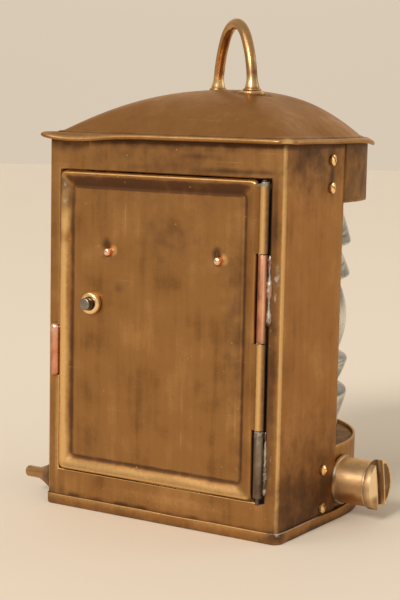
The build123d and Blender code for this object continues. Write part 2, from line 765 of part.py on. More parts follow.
with BuildPart() as latch_nut:
    with BuildSketch(door_front.offset(-tongue_depth - latch_tongue_thickness)):
        with Locations(latch_point):
            RegularPolygon(latch_nut_radius, 6)
            Circle((latch_neck_diameter + joint_gap) / 2, mode=Mode.SUBTRACT)
    extrude(amount=-latch_nut_height)
finish(latch_nut.part, "latch_nut")

# Keeper tube, soldered into a notch of the rear panel beside the door's free edge
with BuildPart() as keeper_tube:
    with BuildSketch(Plane.XY.offset(keeper_tube_bottom)):
        with Locations((keeper_x, keeper_y)):
            Circle(keeper_tube_diameter / 2)
            Circle(keeper_tube_bore / 2, mode=Mode.SUBTRACT)
    extrude(amount=keeper_tube_length)
finish(keeper_tube.part, "keeper_tube")

# Reflector: a polished plate on the door with a dish at the height of the lens's middle
door_inside = door_front.offset(-sheet)
with BuildPart() as reflector_plate:
    with BuildSketch(door_inside):
        with Locations((0, lens_middle - reflector_below)):
            tall = reflector_below + reflector_above
            Rectangle(2 * reflector_half, tall, align=(Align.CENTER, Align.MIN))
        with Locations(*rivet_points):
            Circle((rivet_shank + joint_gap) / 2, mode=Mode.SUBTRACT)
    extrude(amount=-reflector_sheet)
    plate_corners = reflector_plate.edges().filter_by(Axis.Y).filter_by(GeomType.LINE)
    fillet(plate_corners, reflector_corner)
finish(reflector_plate.part, "reflector_plate")

with BuildPart() as reflector_dish:
    dish_back = door_face + sheet + reflector_sheet
    with BuildSketch(Plane(origin=(0, dish_back, lens_middle), x_dir=(1, 0, 0), z_dir=(0, 0, 1))):
        with BuildLine():
            TangentArc((0, 0), (dish_radius, dish_depth), tangent=(1, 0))
            Line((dish_radius, dish_depth), (dish_radius - reflector_sheet, dish_depth))
            TangentArc((0, reflector_sheet), (dish_radius - reflector_sheet, dish_depth), tangent=(1, 0))
            Line((0, reflector_sheet), (0, 0))
        make_face()
    revolve(axis=Axis((0, dish_back, lens_middle), (0, 1, 0)))
finish(reflector_dish.part, "reflector_dish")

# Rivets through the door and the reflector plate
with BuildPart() as reflector_rivets:
    grip = sheet + reflector_sheet
    with BuildSketch(door_front):
        with Locations(*rivet_points):
            Circle(rivet_head / 2)
    extrude(amount=rivet_head_height)
    fillet(reflector_rivets.faces().group_by(Axis.Y)[0].edges(), rivet_head_height * rivet_round_share)
    with BuildSketch(door_front):
        with Locations(*rivet_points):
            Circle(rivet_shank / 2)
    extrude(amount=-grip)
    with BuildSketch(door_front.offset(-grip)):
        with Locations(*rivet_points):
            Circle(rivet_head / 2)
    extrude(amount=-rivet_tail_height)
finish(reflector_rivets.part, "reflector_rivets")

# Drip pan on the floor, with the socket that holds the candle
with BuildPart() as drip_pan:
    with BuildSketch(Plane.XY.offset(sheet)):
        Circle(pan_radius)
    extrude(amount=pan_rim)
    with BuildSketch(Plane.XY.offset(pan_floor)):
        Circle(pan_radius - pan_sheet)
    extrude(amount=pan_rim, mode=Mode.SUBTRACT)
finish(drip_pan.part, "drip_pan")

with BuildPart() as candle_socket:
    with BuildSketch(Plane.XY.offset(pan_floor)):
        Circle(socket_radius + socket_sheet)
        Circle(socket_radius, mode=Mode.SUBTRACT)
    extrude(amount=socket_height)
    with BuildSketch(Plane.XY.offset(pan_floor + socket_height)):
        with PolarLocations(0, socket_slit_count):
            Rectangle(2 * socket_radius, socket_slit, align=(Align.MIN, Align.CENTER))
    extrude(amount=-socket_slit_depth, mode=Mode.SUBTRACT)
finish(candle_socket.part, "candle_socket")

# Candle and wick
candle_top = pan_floor + candle_height
with BuildPart() as candle:
    with BuildSketch(Plane.XY.offset(pan_floor)):
        Circle(candle_diameter / 2)
    extrude(amount=candle_height)
    fillet(candle.faces().sort_by(Axis.Z)[-1].edges(), candle_shoulder)
    with Locations((0, 0, candle_top)):
        Cone(melt_cup_floor, melt_cup_radius, melt_cup_depth, mode=Mode.SUBTRACT,
             align=(Align.CENTER, Align.CENTER, Align.MAX))
        Cylinder(wick_diameter / 2, 2 * wick_set_in, mode=Mode.SUBTRACT)
finish(candle.part, "candle")

with BuildPart() as wick:
    with BuildSketch(Plane.XY.offset(candle_top - wick_set_in)):
        Circle(wick_diameter / 2)
    extrude(amount=wick_set_in + wick_length)
finish(wick.part, "wick")
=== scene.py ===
"""Looks of a small sheet-brass candle lantern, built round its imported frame.

Shapes are worked out in millimetres and become metres when a piece is made. +Z is up, the door
faces -Y, the lens faces +Y, and the hinge and the side tube are at +X.
"""

import logging
import math
from dataclasses import dataclass
from enum import Enum
from functools import cache
from typing import Any, Optional

import bmesh
import bpy
import numpy as np
from mathutils import Matrix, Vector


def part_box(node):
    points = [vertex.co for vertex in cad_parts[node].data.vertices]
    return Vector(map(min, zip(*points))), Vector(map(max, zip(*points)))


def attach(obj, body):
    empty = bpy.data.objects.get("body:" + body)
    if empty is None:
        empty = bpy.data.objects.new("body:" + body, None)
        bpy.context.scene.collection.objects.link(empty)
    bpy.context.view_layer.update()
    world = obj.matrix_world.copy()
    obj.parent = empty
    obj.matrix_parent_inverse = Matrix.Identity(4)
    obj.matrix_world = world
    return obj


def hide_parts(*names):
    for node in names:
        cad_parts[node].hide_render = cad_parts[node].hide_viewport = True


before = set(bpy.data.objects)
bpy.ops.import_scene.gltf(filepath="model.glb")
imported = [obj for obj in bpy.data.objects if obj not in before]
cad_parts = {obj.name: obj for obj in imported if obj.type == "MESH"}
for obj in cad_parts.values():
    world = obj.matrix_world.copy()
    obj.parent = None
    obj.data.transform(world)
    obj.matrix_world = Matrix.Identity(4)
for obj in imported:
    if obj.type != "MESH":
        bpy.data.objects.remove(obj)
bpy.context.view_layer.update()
LOG = logging.getLogger("lantern")
MM = 0.001
WELD = 1e-4
TINY = 1e-9
QUARTER = math.pi / 2
FULL_TURN = 2 * math.pi

Array = np.ndarray
Colour = tuple[float, float, float]
Place = tuple[float, float, float]
Node = bpy.types.Node
Socket = bpy.types.NodeSocket
Tree = bpy.types.NodeTree
Material = bpy.types.Material

RIGHT: Place = (1, 0, 0)
LEFT: Place = (-1, 0, 0)
AHEAD: Place = (0, 1, 0)
BEHIND: Place = (0, -1, 0)
UP: Place = (0, 0, 1)


class Channel(Enum):
    """What the parts of a point's finish say: bright rubbing and painted highlights, dirt and painted shade,
    tin, and copper, which in places stands in for a warm reflection.
    """

    WEAR = 0
    GRIME = 1
    SOLDER = 2
    COPPER = 3


class Body(Enum):
    """The bodies of the frame that pieces ride on."""

    CASE = "case"
    DOOR = "door"
    LATCH = "latch"
    CANDLE = "candle"
    PLUG = "plug"


class SocketKind(Enum):
    """Kinds of socket on a node group."""

    COLOUR = "NodeSocketColor"
    VALUE = "NodeSocketFloat"
    VECTOR = "NodeSocketVector"


# Arrays and curves


def node_box(node: str) -> tuple[Array, Array]:
    """Lowest and highest corner of a frame node, in millimetres."""
    low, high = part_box(node)
    return np.array(low) / MM, np.array(high) / MM


def smooth(value: Any, low: float, high: float) -> Array:
    """A soft step from 0 at low to 1 at high, which may be the lesser of the two."""
    share = np.clip((value - low) / (high - low), 0.0, 1.0)
    return share * share * (3 - 2 * share)


def bell(value: Any, centre: float, width: float, power: int = 2) -> Array:
    """A bell curve: 1 at the centre, falling over the width to both sides."""
    return np.exp(-((value - centre) / width) ** power)


def chain(*parts: Any) -> Array:
    """Arrays one after the other."""
    return np.concatenate(parts)


def spread(*parts: Any) -> Array:
    """Points from their coordinates, each given for a whole grid, a row, a column or once."""
    return np.stack(np.broadcast_arrays(*parts), -1)


def on_plane(plan: Array) -> Array:
    """Places in a plane with a third coordinate of nought."""
    return np.concatenate([plan, 0 * plan[..., :1]], -1)


def stacked(plan: Array, height: Array) -> Array:
    """Outlines in plan, each lifted to its own height."""
    return np.concatenate([plan, np.broadcast_to(height[:, None, None], (*plan.shape[:2], 1))], -1)


def within(values: Array, low: float, high: float, near: float = 1e-3) -> Array:
    """Those of the values that lie between two limits, or as good as at one."""
    return values[(values > low - near) & (values < high + near)]


def border(columns: Array, levels: Array) -> Array:
    """The edge points of a flat grid, counter-clockwise from its lower left corner."""
    grid = np.stack(np.meshgrid(columns, levels), -1)
    return chain(grid[0, :-1], grid[:-1, -1], grid[-1, :0:-1], grid[:0:-1, 0])


def arc(centre: tuple[float, float], radius: float, start: float, stop: float, count: int) -> Array:
    """Points on a circle from one angle to another, in degrees."""
    turn = np.radians(np.linspace(start, stop, count))
    return spread(centre[0] + radius * np.cos(turn), centre[1] + radius * np.sin(turn))


def runs(*stretches: tuple[float, float, int], stops: Any = ()) -> Array:
    """Rising values over several stretches, each given as start, stop and count, and at single stops."""
    values = np.concatenate([*(np.linspace(*stretch) for stretch in stretches), stops])
    return np.unique(np.round(values, 6))


def curve(start: Array, pull: Array, stop: Array, share: Array) -> Array:
    """Places on a quadratic Bezier curve, which leaves the start and meets the stop towards the pull."""
    return (1 - share) ** 2 * start + 2 * share * (1 - share) * pull + share ** 2 * stop


def rounded(corners: Any, radius: float, steps: int = 5, reach: float = 0.45) -> Array:
    """A line of corners with each inner corner replaced by a short curve.

    Args:
        corners: points of the line, in a plane.
        radius: how far from a corner its curve starts.
        steps: points on each curve.
        reach: the largest share of a side that a curve takes up.

    Returns:
        The points of the rounded line.
    """
    corners = np.asarray(corners, float)
    share = np.linspace(0, 1, steps)[:, None]
    parts = [corners[:1]]
    for before, here, after in zip(corners, corners[1:], corners[2:]):
        sides = before - here, after - here
        lengths = [np.linalg.norm(side) for side in sides]
        start, stop = (here + side * (min(radius, length * reach) / max(length, TINY))
                       for side, length in zip(sides, lengths))
        parts.append(curve(start, here, stop, share))
    return np.concatenate(parts + [corners[-1:]])


def d_outline(half: Array, back: Array, corner: Array) -> Array:
    """D-shaped outlines: a half circle in front, straight sides and a flat back with round corners.

    Args:
        half: half widths, one for each outline.
        back: how far each flat back lies behind the axis.
        corner: radius of each outline's rear corners.

    Returns:
        Points of shape (outlines, columns, 2), counter-clockwise.
    """
    half, back, corner = (np.asarray(value, float)[:, None] for value in (half, back, corner))
    front = np.linspace(0, math.pi, 81)[None, :-1]
    side = np.linspace(0, 1, 21)[None, :-1]
    bend = np.linspace(0, QUARTER, 9)[None, :-1]
    rear = np.linspace(0, 1, 61)[None, :-1]
    run = back - corner
    across = half - corner
    x = [half * np.cos(front), -half + 0 * side, -across - corner * np.cos(bend), across * (2 * rear - 1),
         across + corner * np.sin(bend), half + 0 * side]
    y = [half * np.sin(front), -run * side, -run - corner * np.sin(bend), -back + 0 * rear,
         -run - corner * np.cos(bend), -run * (1 - side)]
    return spread(np.concatenate(x, 1), np.concatenate(y, 1))


@dataclass(frozen=True)
class Swell:
    """A gentle, uneven swell: the mean of a few sine waves in drawn directions, scaled about a base."""

    amount: float
    length: float
    seed: int
    base: float = 0.0
    waves: int = 7

    def at(self, points: Array) -> Array:
        """The swell at places in space.

        Args:
            points: the places.

        Returns:
            A value for each place.
        """
        draw = np.random.default_rng(self.seed)
        way = draw.normal(size=(self.waves, 3))
        way *= (draw.uniform(0.6, 1.5, self.waves) / np.linalg.norm(way, axis=1))[:, None]
        turn = points @ way.T * (FULL_TURN / self.length) + draw.uniform(0, FULL_TURN, self.waves)
        return self.base + self.amount * np.sin(turn).mean(axis=-1)


@dataclass(frozen=True)
class Blot:
    """A soft place: full strength at its centre, falling as a bell curve over its reach along each axis."""

    strength: float
    centre: Place
    reach: Place
    channel: Channel = Channel.GRIME

    def at(self, points: Array) -> Array:
        """The blot's value at places in space."""
        return self.strength * np.exp(-(((points - self.centre) / self.reach) ** 2).sum(axis=-1))


@dataclass
class PlanPath:
    """The bent line of a sheet seen from above, measured along its length, with its outside to the right."""

    points: Array
    near: float = 0.05

    def __post_init__(self) -> None:
        """Measure the length from the start to each point."""
        steps = np.linalg.norm(np.diff(self.points, axis=0), axis=1)
        self.length = chain([0.0], np.cumsum(steps))

    def at(self, along: Array) -> Array:
        """Places in plan at lengths along the line."""
        return np.stack([np.interp(along, self.length, self.points[:, k]) for k in (0, 1)], -1)

    def outward(self, along: Array) -> Array:
        """Unit directions out of the sheet: the step between two near places, turned to the right."""
        x, y = np.moveaxis(self.at(along + self.near) - self.at(along - self.near), -1, 0)
        return spread(y, -x) / np.maximum(np.hypot(x, y), TINY)[..., None]

    def roll(self, along: Array, height: Array, lift: Any = 0.0) -> Array:
        """Bend a flat sheet: each point goes to its place along the line, at its height, lifted out.

        Args:
            along: lengths along the line.
            height: heights of the same points.
            lift: how far each point stands out from the sheet.

        Returns:
            Points in space.
        """
        along, height, lift = np.broadcast_arrays(along, height, lift)
        plan = self.at(along) + self.outward(along) * lift[..., None]
        return np.concatenate([plan, height[..., None]], -1)


# Skins


@dataclass
class Skin:
    """A surface as arrays: points, four-sided faces, the finish of each point, painted highlights and shade
    among it, and the shape of its grid.
    """

    points: Array
    faces: Array
    finish: Array
    shape: tuple[int, ...]

    @classmethod
    def grid(cls, points: Array, loop: bool = False, keep: Optional[Array] = None) -> "Skin":
        """A surface through the rows and columns of a grid of points.

        Args:
            points: the grid, of shape (rows, columns, 3).
            loop: whether the last column joins the first.
            keep: which cells have a face, where some are left open.

        Returns:
            The skin, with an even finish.
        """
        rows, columns = points.shape[:2]
        number = np.arange(rows * columns).reshape(rows, columns)
        if loop:
            number = np.hstack([number, number[:, :1]])
        cells = np.stack([number[:-1, :-1], number[:-1, 1:], number[1:, 1:], number[1:, :-1]], -1)
        faces = cells.reshape(-1, 4) if keep is None else cells[keep]
        finish = np.zeros((rows * columns, len(Channel)))
        return cls(points.reshape(-1, 3).astype(float), faces, finish, (rows, columns))

    def paint(self, channel: Channel, *values: Any) -> "Skin":
        """Raise one part of the finish to at least each of some values.

        Args:
            channel: the part of the finish.
            values: each for all points at once, or by point, row or column.

        Returns:
            The skin itself.
        """
        for value in values:
            value = np.asarray(value, float)
            if value.size != len(self.points):
                value = np.broadcast_to(value, self.shape)
            old = self.finish[:, channel.value]
            self.finish[:, channel.value] = np.clip(np.maximum(old, value.reshape(-1)), 0.0, 1.0)
        return self

    def blot(self, *blots: Blot, where: Optional[Array] = None) -> None:
        """Paint soft places, measured by the skin's own points or by others."""
        for blot in blots:
            self.paint(blot.channel, blot.at(self.points if where is None else where))

    def rub(self, *values: Any) -> "Skin":
        """Brighten the skin: rubbing, and in many places a painted highlight."""
        return self.paint(Channel.WEAR, *values)

    def stain(self, *values: Any) -> "Skin":
        """Darken the skin: dirt, and in many places painted shade."""
        return self.paint(Channel.GRIME, *values)

    def tin(self, *values: Any) -> "Skin":
        """Cover the skin with solder."""
        return self.paint(Channel.SOLDER, *values)

    def redden(self, *values: Any) -> "Skin":
        """Redden the skin towards copper, which in places stands in for a warm reflection."""
        return self.paint(Channel.COPPER, *values)

    def facing(self, inside: Place, away: bool = True) -> "Skin":
        """Turn the faces so that most of them look away from a point, or towards it.

        Args:
            inside: the point.
            away: whether they look away from it.

        Returns:
            The skin itself.
        """
        corner = self.points[self.faces]
        normal = np.cross(corner[:, 2] - corner[:, 0], corner[:, 3] - corner[:, 1])
        looks_away = (normal * (corner.mean(axis=1) - np.array(inside))).sum() >= 0
        if looks_away != away:
            self.faces = self.faces[:, ::-1]
        return self


def joined(*skins: Skin) -> Skin:
    """Several skins as one, whose points are no longer a grid."""
    starts = np.cumsum([0] + [len(skin.points) for skin in skins])
    return Skin(np.concatenate([skin.points for skin in skins]),
                np.concatenate([skin.faces + start for skin, start in zip(skins, starts)]),
                np.concatenate([skin.finish for skin in skins]), (starts[-1],))


@dataclass(frozen=True)
class Seat:
    """A place to build on: an origin, a direction across it and the direction that it faces."""

    origin: Place
    across: Place = RIGHT
    facing: Place = UP

    def place(self, across: Array, along: Array, height: Array) -> Array:
        """Points at distances across the seat, along it and above it.

        Args:
            across: distances across the seat.
            along: distances along it, square to the others.
            height: distances above it.

        Returns:
            Points in space.
        """
        first, last = np.array(self.across), np.array(self.facing)
        ways = (first, np.cross(last, first), last)
        parts = np.broadcast_arrays(across, along, height)
        return np.array(self.origin) + sum(part[..., None] * way for part, way in zip(parts, ways))


def lathe(seat: Seat, profile: Any, segments: int = 56) -> Skin:
    """A profile turned about the seat's facing line: each of its points becomes a ring.

    Args:
        seat: where it stands.
        profile: pairs of radius and height.
        segments: points on each ring.

    Returns:
        The turned skin.
    """
    profile = np.asarray(profile, float)
    turn = np.linspace(0, FULL_TURN, segments, endpoint=False)[None, :]
    radius, height = profile[:, :1], profile[:, 1:]
    return Skin.grid(seat.place(radius * np.cos(turn), radius * np.sin(turn), height), loop=True)


def rod(path: Array, radius: Any, flat: Place, sides: int = 20, squash: float = 1.0) -> Skin:
    """A round bar: a ring of points carried along a path, drawn together at both ends.

    Args:
        path: points along the middle of the bar.
        radius: its radius at each point, or one for all.
        flat: a direction that the path never takes.
        sides: points on each ring.
        squash: thickness as a share of the width.

    Returns:
        The closed skin.
    """
    radius = np.broadcast_to(np.asarray(radius, float), (len(path),))
    tangent = np.gradient(path, axis=0)
    tangent /= np.linalg.norm(tangent, axis=1, keepdims=True)
    side = np.cross(tangent, np.array(flat, float))
    side /= np.linalg.norm(side, axis=1, keepdims=True)
    up = np.cross(side, tangent)
    turn = np.linspace(0, FULL_TURN, sides, endpoint=False)[None, :, None]
    ring = np.cos(turn) * side[:, None] + squash * np.sin(turn) * up[:, None]
    points = path[:, None] + radius[:, None, None] * ring
    ends = [np.broadcast_to(path[k], (1, sides, 3)) for k in (0, -1)]
    return Skin.grid(chain(ends[0], points, ends[1]), loop=True)


@dataclass(frozen=True)
class SolderRun:
    """A run of solder along a joint: a flattened bar whose radius and surface swell unevenly."""

    radius: float
    seed: int
    steps: int = 60
    sides: int = 14
    squash: float = 0.75
    thinnest: float = 0.3
    taper: float = 18.0

    def skin(self, start: Any, stop: Any) -> Skin:
        """The run between two places.

        Args:
            start: where it starts.
            stop: where it ends.

        Returns:
            The closed skin, partly bright and partly stained.
        """
        start, stop = np.array(start, float), np.array(stop, float)
        share = np.linspace(0, 1, self.steps)[:, None]
        path = start + (stop - start) * share
        uneven = Swell(0.8, 9.0, self.seed, 0.8).at(path) + Swell(0.15, 2.5, self.seed + 1).at(path)
        ends = np.sqrt(np.clip(np.minimum(share, 1 - share) * self.taper, 0.02, 1))[:, 0]
        thick = self.radius * np.maximum(uneven, self.thinnest) * ends
        skin = rod(path, thick, AHEAD, self.sides, self.squash)
        skin.points += Swell(0.2, 2.2, self.seed + 2).at(skin.points)[:, None]
        skin.stain(Swell(0.4, 2.6, self.seed + 4, 0.6).at(skin.points))
        return skin.tin(Swell(0.5, 6.0, self.seed + 3, 0.5).at(skin.points))


@dataclass(frozen=True)
class SlottedHead:
    """A round head with a straight slot across it, open at its underside."""

    radius: float
    height: float
    slot: float
    depth: float
    crown: float

    def top(self, across: Array, along: Array) -> Array:
        """Height of the domed top: it falls with the square of the distance from the middle."""
        return self.height - self.crown * (across * across + along * along) / self.radius ** 2

    def skin(self, seat: Seat) -> Skin:
        """Two lands and the slot's floor as strips across the circle, with walls down from their edges.

        Args:
            seat: where the head stands, with the slot along it.

        Returns:
            The skin.
        """
        share = np.linspace(-1, 1, 25)[None, :]
        half, floor = self.slot / 2, self.height - self.depth
        turn = np.linspace(math.asin(half / self.radius), QUARTER, 11)[:, None]
        land = self.radius * np.sin(turn)
        strips = []
        for across in (land, -land[::-1], np.linspace(-half, half, 5)[:, None]):
            along = share * np.sqrt(np.maximum(self.radius * self.radius - across * across, 0))
            sunk = len(across) < len(land)
            top = np.full_like(along, floor) if sunk else self.top(across, along)
            strips.append(Skin.grid(seat.place(across, along, top)))
            for end in (0, -1):
                edge = np.stack([along[:, end], along[:, end]])
                drop = np.stack([top[:, end], 0 * top[:, end]])
                strips.append(Skin.grid(seat.place(across[:, 0][None, :], edge, drop)))
        wall = share * math.sqrt(self.radius * self.radius - half * half)
        lip = self.top(half, wall)
        drop = chain(lip, np.full_like(lip, floor))
        for side in (-half, half):
            strips.append(Skin.grid(seat.place(np.full_like(drop, side), np.repeat(wall, 2, 0), drop)))
        return joined(*strips)


# Finishes

NEUTRAL: Colour = (1.0, 1.0, 1.0)
WARM_EDGE: Colour = (0.98, 0.85, 0.72)
TIN_COLOUR: Colour = (0.41, 0.375, 0.325)
# The colour of the copper channel, which in places stands in for a warm reflection.
COPPER_AND_REFLECTION_COLOUR: Colour = (0.335, 0.148, 0.045)


@dataclass(frozen=True)
class Metal:
    """The finish of a metal: its patina from dark to light, the metal where it is bright from rubbing and
    painted highlights, and the colour of its dirt and painted shade.
    """

    name: str
    slot: str
    dark: Colour
    mid: Colour
    light: Colour
    worn: Colour
    stain: Colour
    roughness: float
    blotch: float = 60.0
    streak: float = 0.5
    bump: float = 0.25
    scratch: float = 0.5
    edge: Colour = WARM_EDGE


@dataclass(frozen=True)
class Plain:
    """The finish of a piece that isn't metal: two tones, their grain and how matt they are."""

    name: str
    slot: str
    dark: Colour
    light: Colour
    roughness: float
    grain: float
    bump: float = 0.2
    subsurface: float = 0.0


@dataclass(frozen=True)
class Glass:
    """The finish of the lens."""

    name: str = "pressed_glass"
    slot: str = "lens_glass"
    tint: Colour = (0.97, 0.95, 0.84)
    index: float = 1.5


AGED_BRASS = Metal(
    "aged_brass_sheet", "aged_brass", (0.240, 0.116, 0.039), (0.348, 0.174, 0.060), (0.460, 0.243, 0.090),
    (0.76, 0.48, 0.20), (0.060, 0.022, 0.008), 0.40, streak=0.45)
BRIGHT_BRASS = Metal(
    "rubbed_brass", "bright_brass", (0.40, 0.21, 0.075), (0.60, 0.36, 0.145), (0.74, 0.48, 0.22),
    (0.95, 0.70, 0.36), (0.08, 0.036, 0.014), 0.26, blotch=140.0, streak=0.2)
SATIN_BRASS = Metal(
    "satin_brass", "bright_brass", (0.62, 0.36, 0.150), (0.82, 0.54, 0.27), (0.92, 0.66, 0.36),
    (0.98, 0.78, 0.48), (0.08, 0.036, 0.014), 0.44, blotch=110.0, streak=0.2)
HANDLED_BRASS = Metal(
    "handled_brass", "bright_brass", (0.27, 0.142, 0.058), (0.45, 0.256, 0.110), (0.58, 0.365, 0.170),
    (0.86, 0.60, 0.28), (0.06, 0.026, 0.010), 0.29, blotch=120.0, streak=0.2)
COPPER = Metal(
    "copper_tube", "copper", (0.48, 0.190, 0.102), (0.73, 0.325, 0.190), (0.85, 0.45, 0.29),
    (0.96, 0.64, 0.45), (0.09, 0.032, 0.016), 0.27, blotch=160.0)
TINNED = Metal(
    "tinned_sheet", "tinned_metal", (0.12, 0.080, 0.050), (0.22, 0.160, 0.110), (0.34, 0.285, 0.225),
    (0.70, 0.66, 0.58), (0.05, 0.036, 0.024), 0.36, blotch=150.0, streak=0.4, edge=NEUTRAL)
MIRROR_TIN = Metal(
    "reflector_tin", "tinned_metal", (0.52, 0.50, 0.46), (0.68, 0.66, 0.62), (0.76, 0.74, 0.70),
    (0.85, 0.83, 0.80), (0.20, 0.16, 0.12), 0.14, blotch=80.0, streak=0.2, scratch=0.9, edge=NEUTRAL)
DARK_STEEL = Metal(
    "dark_steel", "dark_steel", (0.060, 0.046, 0.036), (0.120, 0.092, 0.074), (0.20, 0.165, 0.140),
    (0.42, 0.38, 0.33), (0.020, 0.014, 0.010), 0.30, blotch=200.0, edge=NEUTRAL)
WAX = Plain("candle_wax", "candle_wax", (0.70, 0.60, 0.42), (0.84, 0.78, 0.62), 0.45, 60.0, 0.12, 0.35)
FELT = Plain("grey_felt", "felt", (0.030, 0.027, 0.024), (0.075, 0.068, 0.060), 0.95, 2600.0, 0.6)
CHARRED = Plain("charred_wick", "wick_cotton", (0.010, 0.009, 0.008), (0.055, 0.045, 0.036), 0.9, 2200.0, 0.6)
LENS_GLASS = Glass()


@dataclass
class NodeSheet:
    """A node tree that is being filled: it adds nodes, sets their inputs and links them."""

    tree: Tree

    def wire(self, node: Node, inputs: dict[Any, Any]) -> None:
        """Set a node's inputs: a socket is linked, and a value is put on the input itself.

        Args:
            node: the node.
            inputs: sockets or values, by the input's name or number.
        """
        for key, value in inputs.items():
            socket = node.inputs[key]
            if isinstance(value, Socket):
                self.tree.links.new(value, socket)
            else:
                is_colour = socket.type == "RGBA" and len(value) == 3
                socket.default_value = (*value, 1.0) if is_colour else value

    def add(self, kind: str, inputs: Optional[dict[Any, Any]] = None, **settings: Any) -> Node:
        """Add a node.

        Args:
            kind: Blender's name for the node.
            inputs: values or sockets for its inputs, by name or number.
            settings: its other settings.

        Returns:
            The node.
        """
        node = self.tree.nodes.new(kind)
        for key, value in settings.items():
            setattr(node, key, value)
        self.wire(node, inputs or {})
        return node

    def sum(self, operation: str, first: Any, second: Any) -> Socket:
        """The result of a sum on two values."""
        return self.add("ShaderNodeMath", {0: first, 1: second}, operation=operation).outputs[0]

    def plus(self, first: Any, second: Any) -> Socket:
        """Two values added."""
        return self.sum("ADD", first, second)

    def minus(self, first: Any, second: Any) -> Socket:
        """The first value less the second."""
        return self.sum("SUBTRACT", first, second)

    def times(self, first: Any, second: Any) -> Socket:
        """Two values multiplied."""
        return self.sum("MULTIPLY", first, second)

    def mix(self, share: Any, first: Any, second: Any) -> Socket:
        """A colour between two colours."""
        return self.add("ShaderNodeMix", {0: share, 6: first, 7: second}, data_type="RGBA").outputs[2]

    def noise(self, vector: Any, scale: Any, detail: float) -> Socket:
        """A cloudy value about one half."""
        return self.add("ShaderNodeTexNoise", {"Vector": vector, "Scale": scale, "Detail": detail}).outputs[0]

    def span(self, value: Any, low: float, high: float, top: float = 1.0) -> Socket:
        """A soft step from 0 at low to top at high."""
        inputs = {0: value, 1: low, 2: high, 3: 0.0, 4: top}
        return self.add("ShaderNodeMapRange", inputs, interpolation_type="SMOOTHSTEP").outputs[0]

    def stretched(self, vector: Any, scale: Place, turn: Place = (0, 0, 0)) -> Socket:
        """Coordinates turned and drawn out."""
        return self.add("ShaderNodeMapping", {"Vector": vector, "Rotation": turn, "Scale": scale}).outputs[0]

    def bump(self, strength: float, distance: float, height: Any) -> Socket:
        """A surface direction from a height."""
        inputs = {"Strength": strength, "Distance": distance, "Height": height}
        return self.add("ShaderNodeBump", inputs).outputs[0]

    def group(self, tree: Tree, inputs: dict[str, Any]) -> Any:
        """The outputs of a node group that is placed here."""
        return self.add("ShaderNodeGroup", inputs, node_tree=tree).outputs


